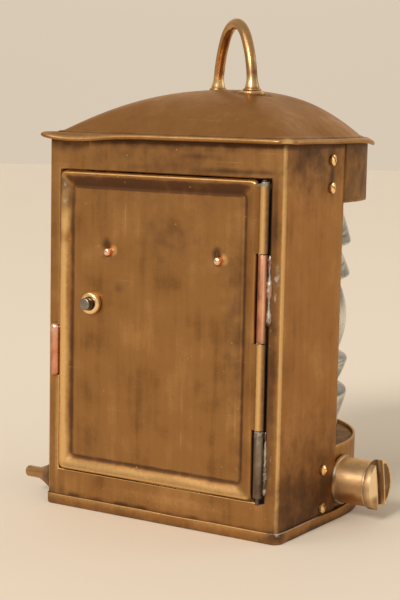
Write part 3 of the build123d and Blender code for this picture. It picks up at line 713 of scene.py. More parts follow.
class EffectGroups:
    """Node groups that the metals share: patina, bright rubbing and dirt with painted highlights and shade,
    fine scratches and specks of dust.
    """

    def __init__(self) -> None:
        """Build each group once."""
        self.patina = self.build_patina()
        self.edge_wear = self.build_edge_wear()
        self.scratches = self.build_scratches()
        self.specks = self.build_specks()

    @staticmethod
    def start(name: str, inputs: dict[str, SocketKind], outputs: dict[str, SocketKind]
              ) -> tuple[NodeSheet, Any, Node]:
        """An empty group with its sockets.

        Args:
            name: the group's name.
            inputs: its inputs and their kinds.
            outputs: its outputs and their kinds.

        Returns:
            The sheet to fill, the sockets of the inputs and the node that takes the outputs.
        """
        tree = bpy.data.node_groups.new(name, "ShaderNodeTree")
        for sockets, way in ((inputs, "INPUT"), (outputs, "OUTPUT")):
            for key, kind in sockets.items():
                tree.interface.new_socket(key, in_out=way, socket_type=kind.value)
        sheet = NodeSheet(tree)
        return sheet, sheet.add("NodeGroupInput").outputs, sheet.add("NodeGroupOutput")

    def build_patina(self) -> Tree:
        """Cloudy patches, upright streaks and a fine grain, coloured from dark to light.

        Returns:
            The group, which gives a colour, its tone and a height.
        """
        colour, value = SocketKind.COLOUR, SocketKind.VALUE
        sheet, given, out = self.start(
            "patina",
            {"Vector": SocketKind.VECTOR, "Dark": colour, "Mid": colour, "Light": colour, "Blotch": value,
             "Streak": value},
            {"Color": colour, "Tone": value, "Height": value})
        vector, blotch = given["Vector"], given["Blotch"]
        cloud = sheet.noise(vector, blotch, 6.0)
        streak = sheet.noise(sheet.stretched(vector, (1.0, 1.0, 0.07)), sheet.times(blotch, 6.0), 5.0)
        grain = sheet.noise(vector, sheet.times(blotch, 26.0), 3.0)
        drawn = sheet.times(sheet.minus(streak, 0.5), given["Streak"])
        fine = sheet.times(sheet.minus(grain, 0.5), 0.22)
        tone = sheet.plus(cloud, sheet.plus(drawn, fine))
        low = sheet.mix(sheet.span(tone, 0.26, 0.50), given["Dark"], given["Mid"])
        sheet.wire(out, {"Color": sheet.mix(sheet.span(tone, 0.50, 0.78), low, given["Light"]), "Tone": tone,
                         "Height": sheet.plus(sheet.times(cloud, 0.8), grain)})
        return sheet.tree

    def build_edge_wear(self) -> Tree:
        """Bright rubbing and painted highlights, dirt and painted shade, tin, and copper that in places is a
        painted warm reflection: each part of the finish as a soft, ragged step.

        Returns:
            The group, which gives a colour, a change of roughness and how metallic the place is.
        """
        colour, value = SocketKind.COLOUR, SocketKind.VALUE
        sheet, given, out = self.start(
            "edge_wear",
            {"Vector": SocketKind.VECTOR, "Color": colour, "Finish": colour, "Copper": value, "Worn": colour,
             "Stain": colour},
            {"Color": colour, "Rough": value, "Metal": value})
        parts = sheet.add("ShaderNodeSeparateColor", {0: given["Finish"]}).outputs
        rag, cloud = (sheet.minus(sheet.noise(given["Vector"], scale, 5.0), 0.5) for scale in (700.0, 190.0))
        rubbing_and_highlight, dirt_and_shade, solder, copper = (
            sheet.span(sheet.plus(part, sheet.times(edge, share)), low, high)
            for part, edge, share, low, high in (
                (parts[0], rag, 0.35, 0.15, 0.95), (parts[1], cloud, 0.8, 0.12, 0.95),
                (parts[2], rag, 0.9, 0.38, 0.66), (given["Copper"], cloud, 0.8, 0.2, 0.8)))
        shade = sheet.mix(copper, given["Color"], COPPER_AND_REFLECTION_COLOUR)
        shade = sheet.mix(sheet.times(rubbing_and_highlight, 0.92), shade, given["Worn"])
        shade = sheet.mix(sheet.times(dirt_and_shade, 0.9), shade, given["Stain"])
        sheet.wire(out, {"Color": sheet.mix(solder, shade, TIN_COLOUR),
                         "Rough": sheet.minus(sheet.times(dirt_and_shade, 0.22), sheet.times(rubbing_and_highlight, 0.10)),
                         "Metal": sheet.minus(1.0, sheet.times(dirt_and_shade, 0.4))})
        return sheet.tree

    def build_scratches(self) -> Tree:
        """Hair-fine scratches: thin bands of two noises that are drawn out in two directions.

        Returns:
            The group, which gives a mask.
        """
        sheet, given, out = self.start(
            "fine_scratches", {"Vector": SocketKind.VECTOR}, {"Mask": SocketKind.VALUE})
        vector = given["Vector"]
        first, second = (
            sheet.span(sheet.noise(sheet.stretched(vector, scale, turn), 1.0, 2.0), 0.66, 0.74)
            for turn, scale in (((0.06, 0.05, 0.0), (900.0, 900.0, 14.0)),
                                ((0.9, 0.7, 0.3), (14.0, 800.0, 800.0))))
        patch = sheet.span(sheet.noise(vector, 60.0, 2.0), 0.48, 0.62)
        sheet.wire(out, {"Mask": sheet.times(sheet.sum("MAXIMUM", first, second), patch)})
        return sheet.tree

    def build_specks(self) -> Tree:
        """Scattered pale specks: the middles of a few cells of a Voronoi pattern.

        Returns:
            The group, which gives a mask.
        """
        sheet, given, out = self.start("specks", {"Vector": SocketKind.VECTOR}, {"Mask": SocketKind.VALUE})
        cells = sheet.add("ShaderNodeTexVoronoi", {"Vector": given["Vector"], "Scale": 330.0}).outputs
        chance = sheet.add("ShaderNodeSeparateColor", {0: cells["Color"]}).outputs[0]
        small = sheet.minus(1.0, sheet.span(cells["Distance"], 0.06, 0.14))
        sheet.wire(out, {"Mask": sheet.times(small, sheet.sum("GREATER_THAN", chance, 0.90))})
        return sheet.tree


class Palette:
    """Makes each finish's material once."""

    def __init__(self) -> None:
        """Build the shared effects."""
        self.effects = EffectGroups()
        self.builders = {Metal: self.metal, Plain: self.plain, Glass: self.glass}

    @cache
    def __getitem__(self, finish: Any) -> Material:
        """The material of a finish, which is made at its first use."""
        return self.builders[type(finish)](finish)

    @staticmethod
    def start(name: str) -> tuple[Material, NodeSheet, Node, Socket]:
        """A material with its shader linked to the output.

        Args:
            name: the material's name.

        Returns:
            The material, its sheet, the shader node and the object's coordinates.
        """
        material = bpy.data.materials.new(name)
        material.use_nodes = True
        material.node_tree.nodes.clear()
        sheet = NodeSheet(material.node_tree)
        shader = sheet.add("ShaderNodeBsdfPrincipled")
        sheet.add("ShaderNodeOutputMaterial", {"Surface": shader.outputs[0]})
        return material, sheet, shader, sheet.add("ShaderNodeTexCoord").outputs["Object"]

    def metal(self, finish: Metal) -> Material:
        """A metal: patina, then rubbing, dirt, painted highlights and painted shade, with scratches and a few
        specks over them.

        Args:
            finish: the metal.

        Returns:
            Its material.
        """
        material, sheet, shader, where = self.start(finish.name)
        patina = sheet.group(self.effects.patina, {
            "Vector": where, "Dark": finish.dark, "Mid": finish.mid, "Light": finish.light,
            "Blotch": finish.blotch, "Streak": finish.streak})
        worn = sheet.group(self.effects.edge_wear, {
            "Vector": where, "Color": patina["Color"], "Worn": finish.worn, "Stain": finish.stain,
            "Finish": sheet.add("ShaderNodeAttribute", attribute_name="finish").outputs["Color"],
            "Copper": sheet.add("ShaderNodeAttribute", attribute_name="coppery").outputs["Fac"]})
        hair = sheet.group(self.effects.scratches, {"Vector": where})[0]
        speck = sheet.group(self.effects.specks, {"Vector": where})[0]
        shade = sheet.mix(sheet.times(hair, 0.35 * finish.scratch), worn["Color"], finish.worn)
        swing = sheet.times(sheet.minus(0.5, patina["Tone"]), 0.28)
        rough = sheet.plus(sheet.plus(worn["Rough"], swing), finish.roughness)
        height = sheet.minus(patina["Height"], sheet.times(hair, 0.6))
        sheet.wire(shader, {
            "Base Color": sheet.mix(sheet.times(speck, 0.35), shade, finish.worn), "Metallic": worn["Metal"],
            "Specular Tint": finish.edge, "Roughness": sheet.sum("MAXIMUM", rough, 0.08),
            "Normal": sheet.bump(finish.bump, 0.00012, height)})
        return material

    def plain(self, finish: Plain) -> Material:
        """Two tones mixed by a noise, which also raises the grain.

        Args:
            finish: the plain finish.

        Returns:
            Its material.
        """
        material, sheet, shader, where = self.start(finish.name)
        cloud = sheet.noise(where, finish.grain, 5.0)
        sheet.wire(shader, {
            "Base Color": sheet.mix(sheet.span(cloud, 0.3, 0.7), finish.dark, finish.light),
            "Roughness": finish.roughness, "Normal": sheet.bump(finish.bump, 0.0003, cloud)})
        if finish.subsurface:
            sheet.wire(shader, {"Subsurface Weight": finish.subsurface,
                                "Subsurface Radius": (0.006, 0.004, 0.002)})
        return material

    def glass(self, finish: Glass) -> Material:
        """Clear pressed glass with a faint warm cast, a slow swell and a little dust.

        Args:
            finish: the glass.

        Returns:
            Its material.
        """
        material, sheet, shader, where = self.start(finish.name)
        dust = sheet.noise(where, 180.0, 5.0)
        swell = sheet.noise(where, 120.0, 2.0)
        sheet.wire(shader, {
            "Base Color": finish.tint, "Transmission Weight": 1.0, "IOR": finish.index,
            "Roughness": sheet.plus(sheet.span(dust, 0.35, 0.85, 0.18), 0.10),
            "Normal": sheet.bump(0.12, 0.0004, swell)})
        return material


@dataclass
class Shop:
    """Makes the pieces: puts skins into meshes, dresses them and hangs them on their bodies."""

    palette: Palette

    @staticmethod
    def mesh(name: str, skin: Skin, sharp: float, closed: bool) -> bpy.types.Mesh:
        """A mesh from a skin: near points become one, so that some faces become triangles.

        Args:
            name: the mesh's name.
            skin: its points, faces and finish.
            sharp: the least turn of a sharp edge, in degrees.
            closed: whether the faces enclose a volume.

        Returns:
            The mesh in metres, with its finish, painted highlights and shade among it, in two attributes.
        """
        key = np.round(skin.points / WELD).astype(np.int64)
        _, first, where = np.unique(key, axis=0, return_index=True, return_inverse=True)
        faces = where.reshape(-1)[skin.faces]
        lost = faces == np.roll(faces, -1, axis=1)
        polygons = faces[~lost.any(axis=1)].tolist()
        for corner in range(4):
            short = faces[lost[:, corner] & (lost.sum(axis=1) == 1)]
            polygons += short[:, [(corner + step) % 4 for step in (1, 2, 3)]].tolist()
        mesh = bpy.data.meshes.new(name)
        mesh.from_pydata((skin.points[first] * MM).tolist(), [], polygons)
        finish = skin.finish[first]
        colour = mesh.attributes.new("finish", "FLOAT_COLOR", "POINT")
        colour.data.foreach_set("color", np.hstack([finish[:, :3], np.ones((len(finish), 1))]).ravel())
        coppery = mesh.attributes.new("coppery", "FLOAT", "POINT")
        coppery.data.foreach_set("value", finish[:, Channel.COPPER.value].copy())
        if closed:
            body = bmesh.new()
            body.from_mesh(mesh)
            bmesh.ops.recalc_face_normals(body, faces=body.faces)
            body.to_mesh(mesh)
            body.free()
        mesh.shade_smooth()
        mesh.set_sharp_from_angle(angle=math.radians(sharp))
        mesh.validate()
        return mesh

    @staticmethod
    def put(name: str, data: Any) -> bpy.types.Object:
        """Put a mesh, a lamp or a camera into the scene.

        Args:
            name: the object's name.
            data: what it shows.

        Returns:
            The object.
        """
        thing = bpy.data.objects.new(name, data)
        bpy.context.scene.collection.objects.link(thing)
        return thing

    def piece(self, name: str, skin: Skin, finish: Any, node: Optional[str], body: Body = Body.CASE,
              sheet: float = 0.0, bevel: float = 0.0, sharp: float = 38.0) -> None:
        """Make a piece and hang it on its body.

        Args:
            name: the piece's name.
            skin: its surface.
            finish: what it is dressed in.
            node: the frame node that it stands for, if any.
            body: the body that it rides on.
            sheet: thickness that is added behind an open skin.
            bevel: width of the softened edges.
            sharp: the least turn of a sharp edge, in degrees.
        """
        mesh = self.mesh(name, skin, sharp, closed=not sheet)
        piece = self.put(name, mesh)
        mesh.materials.append(self.palette[finish])
        if sheet:
            wall = piece.modifiers.new("sheet", "SOLIDIFY")
            wall.thickness = sheet * MM
            wall.offset = -1.0
            wall.use_even_offset = True
        if bevel:
            edge = piece.modifiers.new("soft_edges", "BEVEL")
            edge.width = bevel * MM
            edge.segments = 2
            edge.limit_method = "ANGLE"
            edge.angle_limit = math.radians(sharp + 10)
        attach(piece, body.value)
        if node:
            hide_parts(node)
        LOG.info("%s: %d faces in %s, on %s", name, len(mesh.polygons), finish.name, body.value)

    def dress(self, finish: Any, *nodes: str) -> None:
        """Give frame nodes that stay in view their material.

        Args:
            finish: what they are dressed in.
            nodes: the nodes.
        """
        for node in nodes:
            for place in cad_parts[node].material_slots:
                place.material = self.palette[finish]
            LOG.info("%s: kept from the frame in %s", node, finish.name)


# The lantern's parts


@dataclass
class Part:
    """A sub-assembly, with the shop that makes its pieces and the sheet that they are of."""

    shop: Shop
    sheet: float = 0.8
    soft_edge: float = 0.12

    def press(self, name: str, skin: Skin, node: str, body: Body = Body.CASE) -> None:
        """Make a piece of sheet brass."""
        self.shop.piece(name, skin, AGED_BRASS, node, body, sheet=self.sheet, bevel=self.soft_edge)


# Dark blots on the case: dirt and painted shade. Rear panel: strength, middle across and up, reach across and
# up. Walls: strength, which side, middle back to front and up, reach back to front and up. On the rear panel,
# the wide blots near the top and the one at the top left are painted shadow under the brim, the tall ones at
# the right stile painted shade beside the hinge, the thin ones at the top of the opening a dark line there,
# the one at the bottom a darker lower left corner, and those at the left stile dirt. The brim blots are
# painted shadow under the brim as well. On the walls, the blots at the foot and the wide one at the top are
# painted shade, and the others dirt round the screws.
REAR_DIRT_AND_SHADE = (
    (0.8, 0, 138, 60, 4.5), (0.5, 0, 130, 55, 9), (0.45, -48, 100, 2.5, 26), (0.3, -48, 30, 2.5, 16),
    (0.7, -12, 128, 12, 1.2), (0.9, 30, 128.4, 22, 1.6), (0.5, -46, 60, 2.2, 13), (0.8, 46.3, 112, 1.4, 24),
    (0.7, 46.4, 62, 2.3, 62), (0.8, -43, 135, 13, 3.2), (0.55, -44, 4, 14, 4))
BRIM_SHADOWS = ((0.8, 14, 133, 13, 2.4), (0.6, -8, 136.5, 60, 1.6))
REAR_TIN = ((0.62, 47.5, 94, 1.7, 6.5), (0.62, 47.0, 86, 0.8, 4.0), (0.62, 46.6, 28, 0.6, 7.0))
WALL_DIRT_AND_SHADE = (
    (0.85, 1, -15, 127, 3.5, 9), (0.9, 1, -14, 12, 7, 17), (0.55, 1, -9, 25, 6, 16),
    (0.86, 1, -30, 2, 36, 34), (0.78, 1, -28, 139, 30, 21), (0.7, -1, -20, 8, 24, 9),
    (0.7, -1, -15, 127, 4, 9))


@dataclass
class Case(Part):
    """The folded case with the door opening, and the tray that it stands in."""

    bend: float = 1.2
    bend_steps: int = 8
    stile: float = 5.0
    door_gap: float = 0.35
    hinge_gap: float = 0.25
    lip_bend: float = 0.5
    lip_depth: float = 3.5
    flange_low: float = 27.5
    flange_high: float = 116.5
    flange_edge: float = 38.6
    inside: Place = (0, -20, 70)
    swell: Swell = Swell(0.16, 75.0, 5)
    fold_fade: tuple[float, float] = (2.0, 9.0)
    fold_rub: float = 0.85
    crust: Swell = Swell(0.9, 11.0, 14)
    tray_inset: float = 1.0
    tray_gap: float = 0.02
    tray_round: float = 0.45
    rim_wave: Swell = Swell(0.28, 26.0, 11)
    rim_bulge: Swell = Swell(0.0025, 40.0, 12)
    seam: SolderRun = SolderRun(0.85, 15)
    seam_out: float = 0.4
    seam_inset: float = 2.0

    def __post_init__(self) -> None:
        """Take the case's corners and the door's opening from the frame."""
        low, high = node_box("case_shell")
        self.half, self.back, self.front = high[0], low[1], high[1]
        self.floor, self.top = low[2], high[2]
        door_low, door_high = node_box("door_panel")
        left, right = self.stile - self.half, door_high[0] + self.hinge_gap
        self.open_middle, self.open_half = (left + right) / 2, (right - left) / 2
        self.open_low, self.open_high = door_low[2] - self.door_gap, door_high[2] + self.door_gap

    def lift(self, points: Array) -> Array:
        """How far the sheet swells out at each point, fading towards the folds."""
        from_fold = np.abs(self.half - np.abs(points[..., 0]) - (points[..., 1] - self.back))
        return self.swell.at(points) * smooth(from_fold, *self.fold_fade)

    def folded_sheet(self) -> Skin:
        """The rear panel and the two walls as one sheet, drawn flat with its opening and folded.

        Returns:
            The sheet's outer face, with its lip and flanges.
        """
        steps = self.bend_steps
        inner, fold_y = self.half - self.bend, self.back + self.bend
        left = arc((-inner, fold_y), self.bend, 180, 270, steps)
        right = arc((inner, fold_y), self.bend, 270, 360, steps)
        path = PlanPath(chain([[-self.half, self.front]], left, right, [[self.half, self.front]]))
        stops = path.length
        rear, rear_end = stops[steps], stops[steps + 1]
        edge = self.open_half + self.lip_bend
        middle = rear + inner + self.open_middle
        along = runs((0, stops[1], 30), (rear, middle - edge, 5), (middle - edge, middle + edge, 64),
                     (middle + edge, rear_end, 5), (stops[-2], stops[-1], 30), stops=stops)
        low, high = self.open_low - self.lip_bend, self.open_high + self.lip_bend
        height = runs((self.floor, low, 8), (low, self.flange_low, 12),
                      (self.flange_low, self.flange_high, 60), (self.flange_high, high, 8),
                      (high, self.top, 9))
        flat = path.roll(along[None, :], height[:, None])
        points = path.roll(along[None, :], height[:, None], self.lift(flat))
        on_rear = np.abs((along[1:] + along[:-1]) / 2 - middle) < edge
        in_door = np.abs((height[1:] + height[:-1]) - low - high) < high - low
        skin = Skin.grid(points, keep=~(in_door[:, None] & on_rear[None, :]))
        # Bright lines along the two folds: rubbing, and a painted highlight where the bends catch the light.
        for fold, strength in ((stops[steps // 2], 0.7), (stops[steps + steps // 2], 1.0)):
            skin.rub(strength * bell(along, fold, self.fold_rub))
        columns = within(along, middle - edge, middle + edge) - rear - inner
        lip = self.lip(columns, within(height, low, high))
        rows = within(height, self.flange_low, self.flange_high)
        return joined(skin.facing(self.inside), lip.facing((0, self.back, (low + high) / 2), away=False),
                      *(self.flange(side, rows).facing(self.inside) for side in (1, -1)))

    def lip(self, columns: Array, levels: Array) -> Skin:
        """The turned-in edge of the opening: its outline carried round a bend and straight in.

        Args:
            columns: the sheet's columns across the opening.
            levels: its rows up the opening.

        Returns:
            The lip, which meets the sheet point by point.
        """
        loop = border(columns, levels)
        middle = (loop.min(axis=0) + loop.max(axis=0)) / 2
        half = loop.max(axis=0) - middle
        turn = np.linspace(0, QUARTER, 5)
        straight = np.linspace(self.lip_bend, self.lip_depth, 4)[1:]
        inset = chain(self.lip_bend * np.sin(turn), np.full(len(straight), self.lip_bend))
        depth = chain(self.lip_bend * (1 - np.cos(turn)), straight)
        plan = (loop - middle)[None] * (half - inset[:, None])[:, None] / half
        across, level = np.moveaxis(plan + middle, -1, 0)
        lift = self.lift(spread(across, self.back, level))
        skin = Skin.grid(spread(across, self.back + depth[:, None] - lift, level), loop=True)
        low = smooth(plan[..., 1], -half[1] + 3, -half[1] + 1)
        left = smooth(plan[..., 0], -half[0] + 3, -half[0] + 1) * smooth(plan[..., 1], 20, -20)
        # A painted highlight along the lip's rounded edge, strongest at the bottom and the lower left, and
        # painted shade deeper inside the lip.
        edge = bell(depth, 0.2, 0.4)[:, None]
        skin.rub(edge * (0.45 + 0.5 * np.maximum(low, left)) + 0.35 * low)
        return skin.stain((0.9 - 0.6 * low) * smooth(depth, 0.6, 2.0)[:, None])

    def flange(self, side: int, height: Array) -> Skin:
        """The front edge of a wall, turned in as a stop for the lens."""
        across = side * np.linspace(self.half, self.flange_edge, 6)
        return Skin.grid(spread(across[None, :], self.front, height[:, None]))

    def on_rear(self, strength: float, x: float, z: float, wide: float, tall: float,
                channel: Channel = Channel.GRIME, deep: float = 2.0) -> Blot:
        """A blot on the rear panel."""
        return Blot(strength, (x, self.back, z), (wide, deep, tall), channel)

    def on_wall(self, strength: float, side: int, y: float, z: float, wide: float, tall: float,
                channel: Channel = Channel.GRIME, deep: float = 2.0) -> Blot:
        """A blot on a side wall."""
        return Blot(strength, (side * self.half, y, z), (deep, wide, tall), channel)

    def stains(self, skin: Skin) -> None:
        """Dirty the sheet round the screws and over the tray, tin it at the hinge, and paint light and shade
        on it: shadow below the brim, shade beside the hinge and at the walls' feet, highlights on the rail
        below the door, the opening's left edge and the right wall's front edge, and a warm reflection at the
        right wall's foot.

        Args:
            skin: the folded sheet, which is painted.
        """
        across, up = skin.points[:, 0], skin.points[:, 2]
        opening_left = self.open_middle - self.open_half
        skin.blot(*(self.on_rear(*row) for row in REAR_DIRT_AND_SHADE),
                  *(self.on_rear(*row, deep=3.0) for row in BRIM_SHADOWS),
                  *(self.on_rear(*row, Channel.SOLDER) for row in REAR_TIN),
                  *(self.on_wall(*row) for row in WALL_DIRT_AND_SHADE),
                  # Painted highlights on the rail below the door, along the opening's left edge and along the
                  # right wall's front edge, and a painted warm reflection at the right wall's foot.
                  self.on_rear(0.4, 5, 9, 40, 3, Channel.WEAR),
                  self.on_rear(0.62, opening_left - 0.9, 28, 0.9, 34, Channel.WEAR),
                  self.on_wall(0.35, 1, self.front, 75, 6, 45, Channel.WEAR),
                  self.on_wall(0.8, 1, -24, 4, 40, 40, Channel.COPPER))
        skin.redden(0.5 * (np.abs(across) > self.half - 0.5))
        # Dirt along the joint with the tray, and painted shadow along the top just under the brim.
        crust = 0.45 + np.maximum(self.crust.at(skin.points), 0)
        rim = node_box("base_tray")[1][2]
        skin.stain(crust * bell(up, rim, 1.5, 4), 1.15 * smooth(up, self.top - 2.6, self.top - 1.2))

    def tray(self) -> Skin:
        """The floor with its low rim: a profile carried round the D-shaped outline.

        Returns:
            The closed skin, with solder along its right side.
        """
        high = node_box("base_tray")[1]
        reach, rim = high[0] - self.half, high[2]
        inset, gap = self.tray_inset, self.tray_gap
        corners = [(-inset, 0.0), (reach, 0.0), (reach, rim), (gap, rim), (gap, reach), (-inset, reach)]
        profile = rounded(corners, self.tray_round)
        drawn_in = np.array([0.0, 0.5, 0.9])
        share = chain(drawn_in, np.ones(len(profile)), drawn_in[::-1])
        grow, height = np.pad(profile, ((len(drawn_in), len(drawn_in)), (0, 0)), mode="edge").T
        corner = self.bend + inset + grow
        outlines = d_outline((self.half + grow) * share, (grow - self.back) * share, corner * share)
        points = stacked(outlines, height)
        rise = smooth(points[..., 2], 1.0, rim) * smooth(grow, -0.5, 0.0)[:, None]
        points[..., 2] += rise * self.rim_wave.at(points)
        points[..., :2] *= 1 + (rise * self.rim_bulge.at(points))[..., None]
        x, y, z = np.moveaxis(points, -1, 0)
        rear = smooth(-y, 40, 47)
        right = smooth(x, 45, 49.5) * smooth(-y, -12, 2)
        outside = grow[:, None]
        skin = Skin.grid(points, loop=True).redden(0.25)
        skin.tin(0.66 * bell(z, rim, 0.35) * right)
        # At the back, a painted highlight along the top of the rim, painted shade on the rim's inner part
        # beside the case and low on its face, and darker towards the left; on the other sides, painted shade
        # low down towards the floor.
        skin.rub(0.6 * bell(z, rim - 0.3, 0.4) * rear)
        skin.stain(0.85 * (outside < reach - 0.5) * rear, 0.34 * rear * smooth(x, 20, -40),
                   0.5 * rear * smooth(z, rim - 0.6, rim - 1.6),
                   0.75 * (1 - rear) * smooth(z, 3.4, 0.5) * (outside > 0.3))
        place = (self.half + reach, self.back - reach, rim)
        skin.blot(Blot(0.9, place, (2.0, 2.0, 1.8), Channel.SOLDER), Blot(1.2, place, (5.0, 5.0, 3.0)))
        side = self.half + self.seam_out
        return joined(skin, self.seam.skin((side, self.back + self.seam_inset, rim),
                                           (side, self.front - self.seam_inset, rim)))

    def build(self) -> None:
        """Make the case and the tray."""
        shell = self.folded_sheet()
        self.stains(shell)
        self.press("folded_case", shell, "case_shell")
        self.shop.piece("floor_tray", self.tray(), AGED_BRASS, "base_tray")


@dataclass
class Front(Part):
    """The half-round base box and hood, and the ribbed lens between them."""

    tab: float = 22.0
    tab_gap: float = 0.1
    hood_step: float = 1.3
    vent: float = 2.5
    vent_count: int = 5
    vent_pitch: float = 18.0
    vent_inset: float = 7.5
    wall_rows: int = 15
    base_swell: Swell = Swell(0.12, 60.0, 21)
    hood_swell: Swell = Swell(0.12, 60.0, 22)
    ledge_edge: float = 34.0
    ledge_dust: Swell = Swell(0.2, 14.0, 3, 0.5)
    base_rim: float = 1.2
    belt_half: float = 14.2
    ring_riser: float = 1.3
    ring_pitch: float = 12.3
    ring_depth: float = 4.6
    ring_fullness: float = 1.25
    belt_drop: float = 1.0
    band_drop: float = 3.2
    lens_wall: float = 6.9
    lens_rows: int = 261
    tip_window: int = 9
    wrap: float = 7.0
    felt_wrap: float = 5.0
    felt_round: float = 0.25

    def __post_init__(self) -> None:
        """Take the walls' places from the frame."""
        self.base_low, self.base_high = node_box("lens_base")
        self.hood_low, self.hood_high = node_box("hood_band")
        self.start = node_box("case_shell")[1][1] + self.tab_gap

    def wall(self, radius: float, step: float, low: float, high: float, vents: float, swell: Swell) -> Skin:
        """A half-round wall with straight tabs, drawn flat with its row of vents and then rolled.

        Each vent has its own patch of the flat sheet, with points from the hole out to the patch's border.

        Args:
            radius: outside of the half-round wall.
            step: how far the tabs lie in from it.
            low: lower edge.
            high: upper edge.
            vents: height of the vents' middles.
            swell: the sheet's swell.

        Returns:
            The wall as one sheet.
        """
        inner = radius - step
        leg = np.array([[inner, -self.tab], [inner, self.start], [radius, self.start + self.sheet]])
        path = PlanPath(chain(leg, arc((0, 0), radius, 0, 180, 181), leg[::-1] * [-1, 1]))
        bend, whole = path.length[len(leg)], path.length[-1]
        pitch = math.radians(self.vent_pitch) * radius
        vents_start = whole / 2 - pitch * self.vent_count / 2
        rows = np.linspace(low, high, self.wall_rows)
        side = runs((0, bend, 14), (bend, vents_start, 40), stops=path.length[:len(leg)])
        flats = [(*np.meshgrid(stretch, rows), False) for stretch in (side, whole - side[::-1])]
        share = np.array([0.0, 0.12, 0.35, 0.65, 1.0])[:, None, None]
        for index in range(self.vent_count):
            hub = np.array([vents_start + pitch * (index + 0.5), vents])
            edge = border(np.linspace(hub[0] - pitch / 2, hub[0] + pitch / 2, 13), rows)
            away = edge - hub
            rim = hub + self.vent * away / np.linalg.norm(away, axis=1, keepdims=True)
            flats.append((*np.moveaxis(rim + (edge - rim) * share, -1, 0), True))
        skins = []
        for along, height, loop in flats:
            points = path.roll(along, height, swell.at(path.roll(along, height)))
            skins.append(Skin.grid(points, loop=loop).facing((0, 5, (low + high) / 2)))
        return joined(*skins)

    def ledge(self) -> Skin:
        """The shelf that carries the lens: a flat half ring with straight ends.

        Returns:
            Its upper face.
        """
        outer = self.base_high[0] - self.sheet
        radius = self.ledge_edge + (outer - self.ledge_edge) * np.linspace(0, 1, 7)[:, None]
        turn = np.radians(np.linspace(0, 180, 91))[None, :]
        back = self.start + self.sheet + 0 * radius
        x = np.hstack([radius, radius * np.cos(turn), -radius])
        y = np.hstack([back, radius * np.sin(turn), back])
        skin = Skin.grid(spread(x, y, self.base_high[2] - self.base_rim))
        # The ledge darkened all over as painted shade under the lens, with an uneven ripple of dust.
        return skin.stain(self.ledge_dust.at(skin.points))

    def lens(self) -> Skin:
        """The ribbed glass: an arc for the belt and a steep riser with a long slope for each ring.

        An average over a short height rounds the tips, as pressed glass is.

        Returns:
            The closed skin, with flat ends.
        """
        low, high = node_box("lens")
        tip, rows = high[0], self.lens_rows
        middle, half = (low[2] + high[2]) / 2, (high[2] - low[2]) / 2
        height = np.linspace(-half, half, rows)
        away = np.abs(height)
        radius = tip - self.belt_drop - (self.ring_depth - self.belt_drop) * (away / self.belt_half) ** 2
        for index, drop in enumerate((self.ring_depth, self.band_drop)):
            foot = self.belt_half + index * self.ring_pitch
            share = np.clip((away - foot - self.ring_riser) / (self.ring_pitch - self.ring_riser), 0, 1)
            rise = self.ring_depth * np.clip((foot + self.ring_riser - away) / self.ring_riser, 0, 1)
            radius = np.where(away > foot, tip - drop * share ** self.ring_fullness - rise, radius)
        window = np.hanning(self.tip_window)[1:-1]
        padded = np.pad(radius, len(window) // 2, mode="edge")
        radius = np.convolve(padded, window / window.sum(), mode="valid")
        bore = np.full_like(radius, tip - self.lens_wall)
        ring = chain(radius, bore, radius[:1])[:, None]
        level = chain(height, height[::-1], height[:1])[:, None] + middle
        turn = np.radians(np.linspace(-self.wrap, 180 + self.wrap, 111))[None, :]
        points = spread(ring * np.cos(turn), ring * np.sin(turn), level)
        ends = [Skin.grid(np.stack([points[:rows, k], points[2 * rows - 1:rows - 1:-1, k]])) for k in (0, -1)]
        return joined(Skin.grid(points), *ends)

    def felt(self, node: str) -> Skin:
        """A felt band under or over the glass: a bar carried round a little less than the lens.

        Args:
            node: the packing that it stands for.

        Returns:
            The closed skin.
        """
        low, high = node_box(node)
        inner, outer = high[0] - self.lens_wall + 0.1, high[0] - self.band_drop - 0.3
        bar = rounded([(inner, low[2]), (outer, low[2]), (outer, high[2]), (inner, high[2]), (inner, low[2])],
                      self.felt_round)
        turn = np.radians(np.linspace(-self.felt_wrap, 180 + self.felt_wrap, 91))[:, None]
        middle = np.broadcast_to(bar[:-1].mean(axis=0), bar.shape)
        points = [spread(part[:, 0] * np.cos(way), part[:, 0] * np.sin(way), part[:, 1])
                  for part, way in ((middle, turn[:1]), (bar, turn), (middle, turn[-1:]))]
        return Skin.grid(np.concatenate(points)[:, :-1], loop=True)

    def build(self) -> None:
        """Make the base box, the hood and the lens, and dress what lies between them."""
        low, high = self.base_low, self.base_high
        wall = self.wall(high[0], 0.0, low[2], high[2], low[2] + self.vent_inset, self.base_swell)
        wall.rub(0.5 * bell(wall.points[:, 2], high[2], 0.5))
        wall.stain(0.6 * smooth(wall.points[:, 2], 9.0, 1.0))
        base = joined(wall, self.ledge().facing((0, 10, -90)))
        self.press("lens_base_box", base, "lens_base")
        low, high = self.hood_low, self.hood_high
        hood = self.wall(high[0], self.hood_step, low[2], high[2], high[2] - self.vent_inset, self.hood_swell)
        # Painted shade: the hood darkened all over, and most towards the top under the brim.
        hood.stain(0.55 + 0.3 * smooth(hood.points[:, 2], 130.0, 139.0))
        hood.rub(0.6 * bell(hood.points[:, 2], low[2], 0.5))
        self.press("hood_sheet", hood, "hood_band")
        self.shop.piece("ribbed_lens", self.lens(), LENS_GLASS, "lens", sharp=50.0)
        self.shop.dress(AGED_BRASS, "hood_ledge")
        for end in ("lower", "upper"):
            node = f"lens_packing_{end}"
            self.shop.piece(f"{end}_felt", self.felt(node), FELT, node)


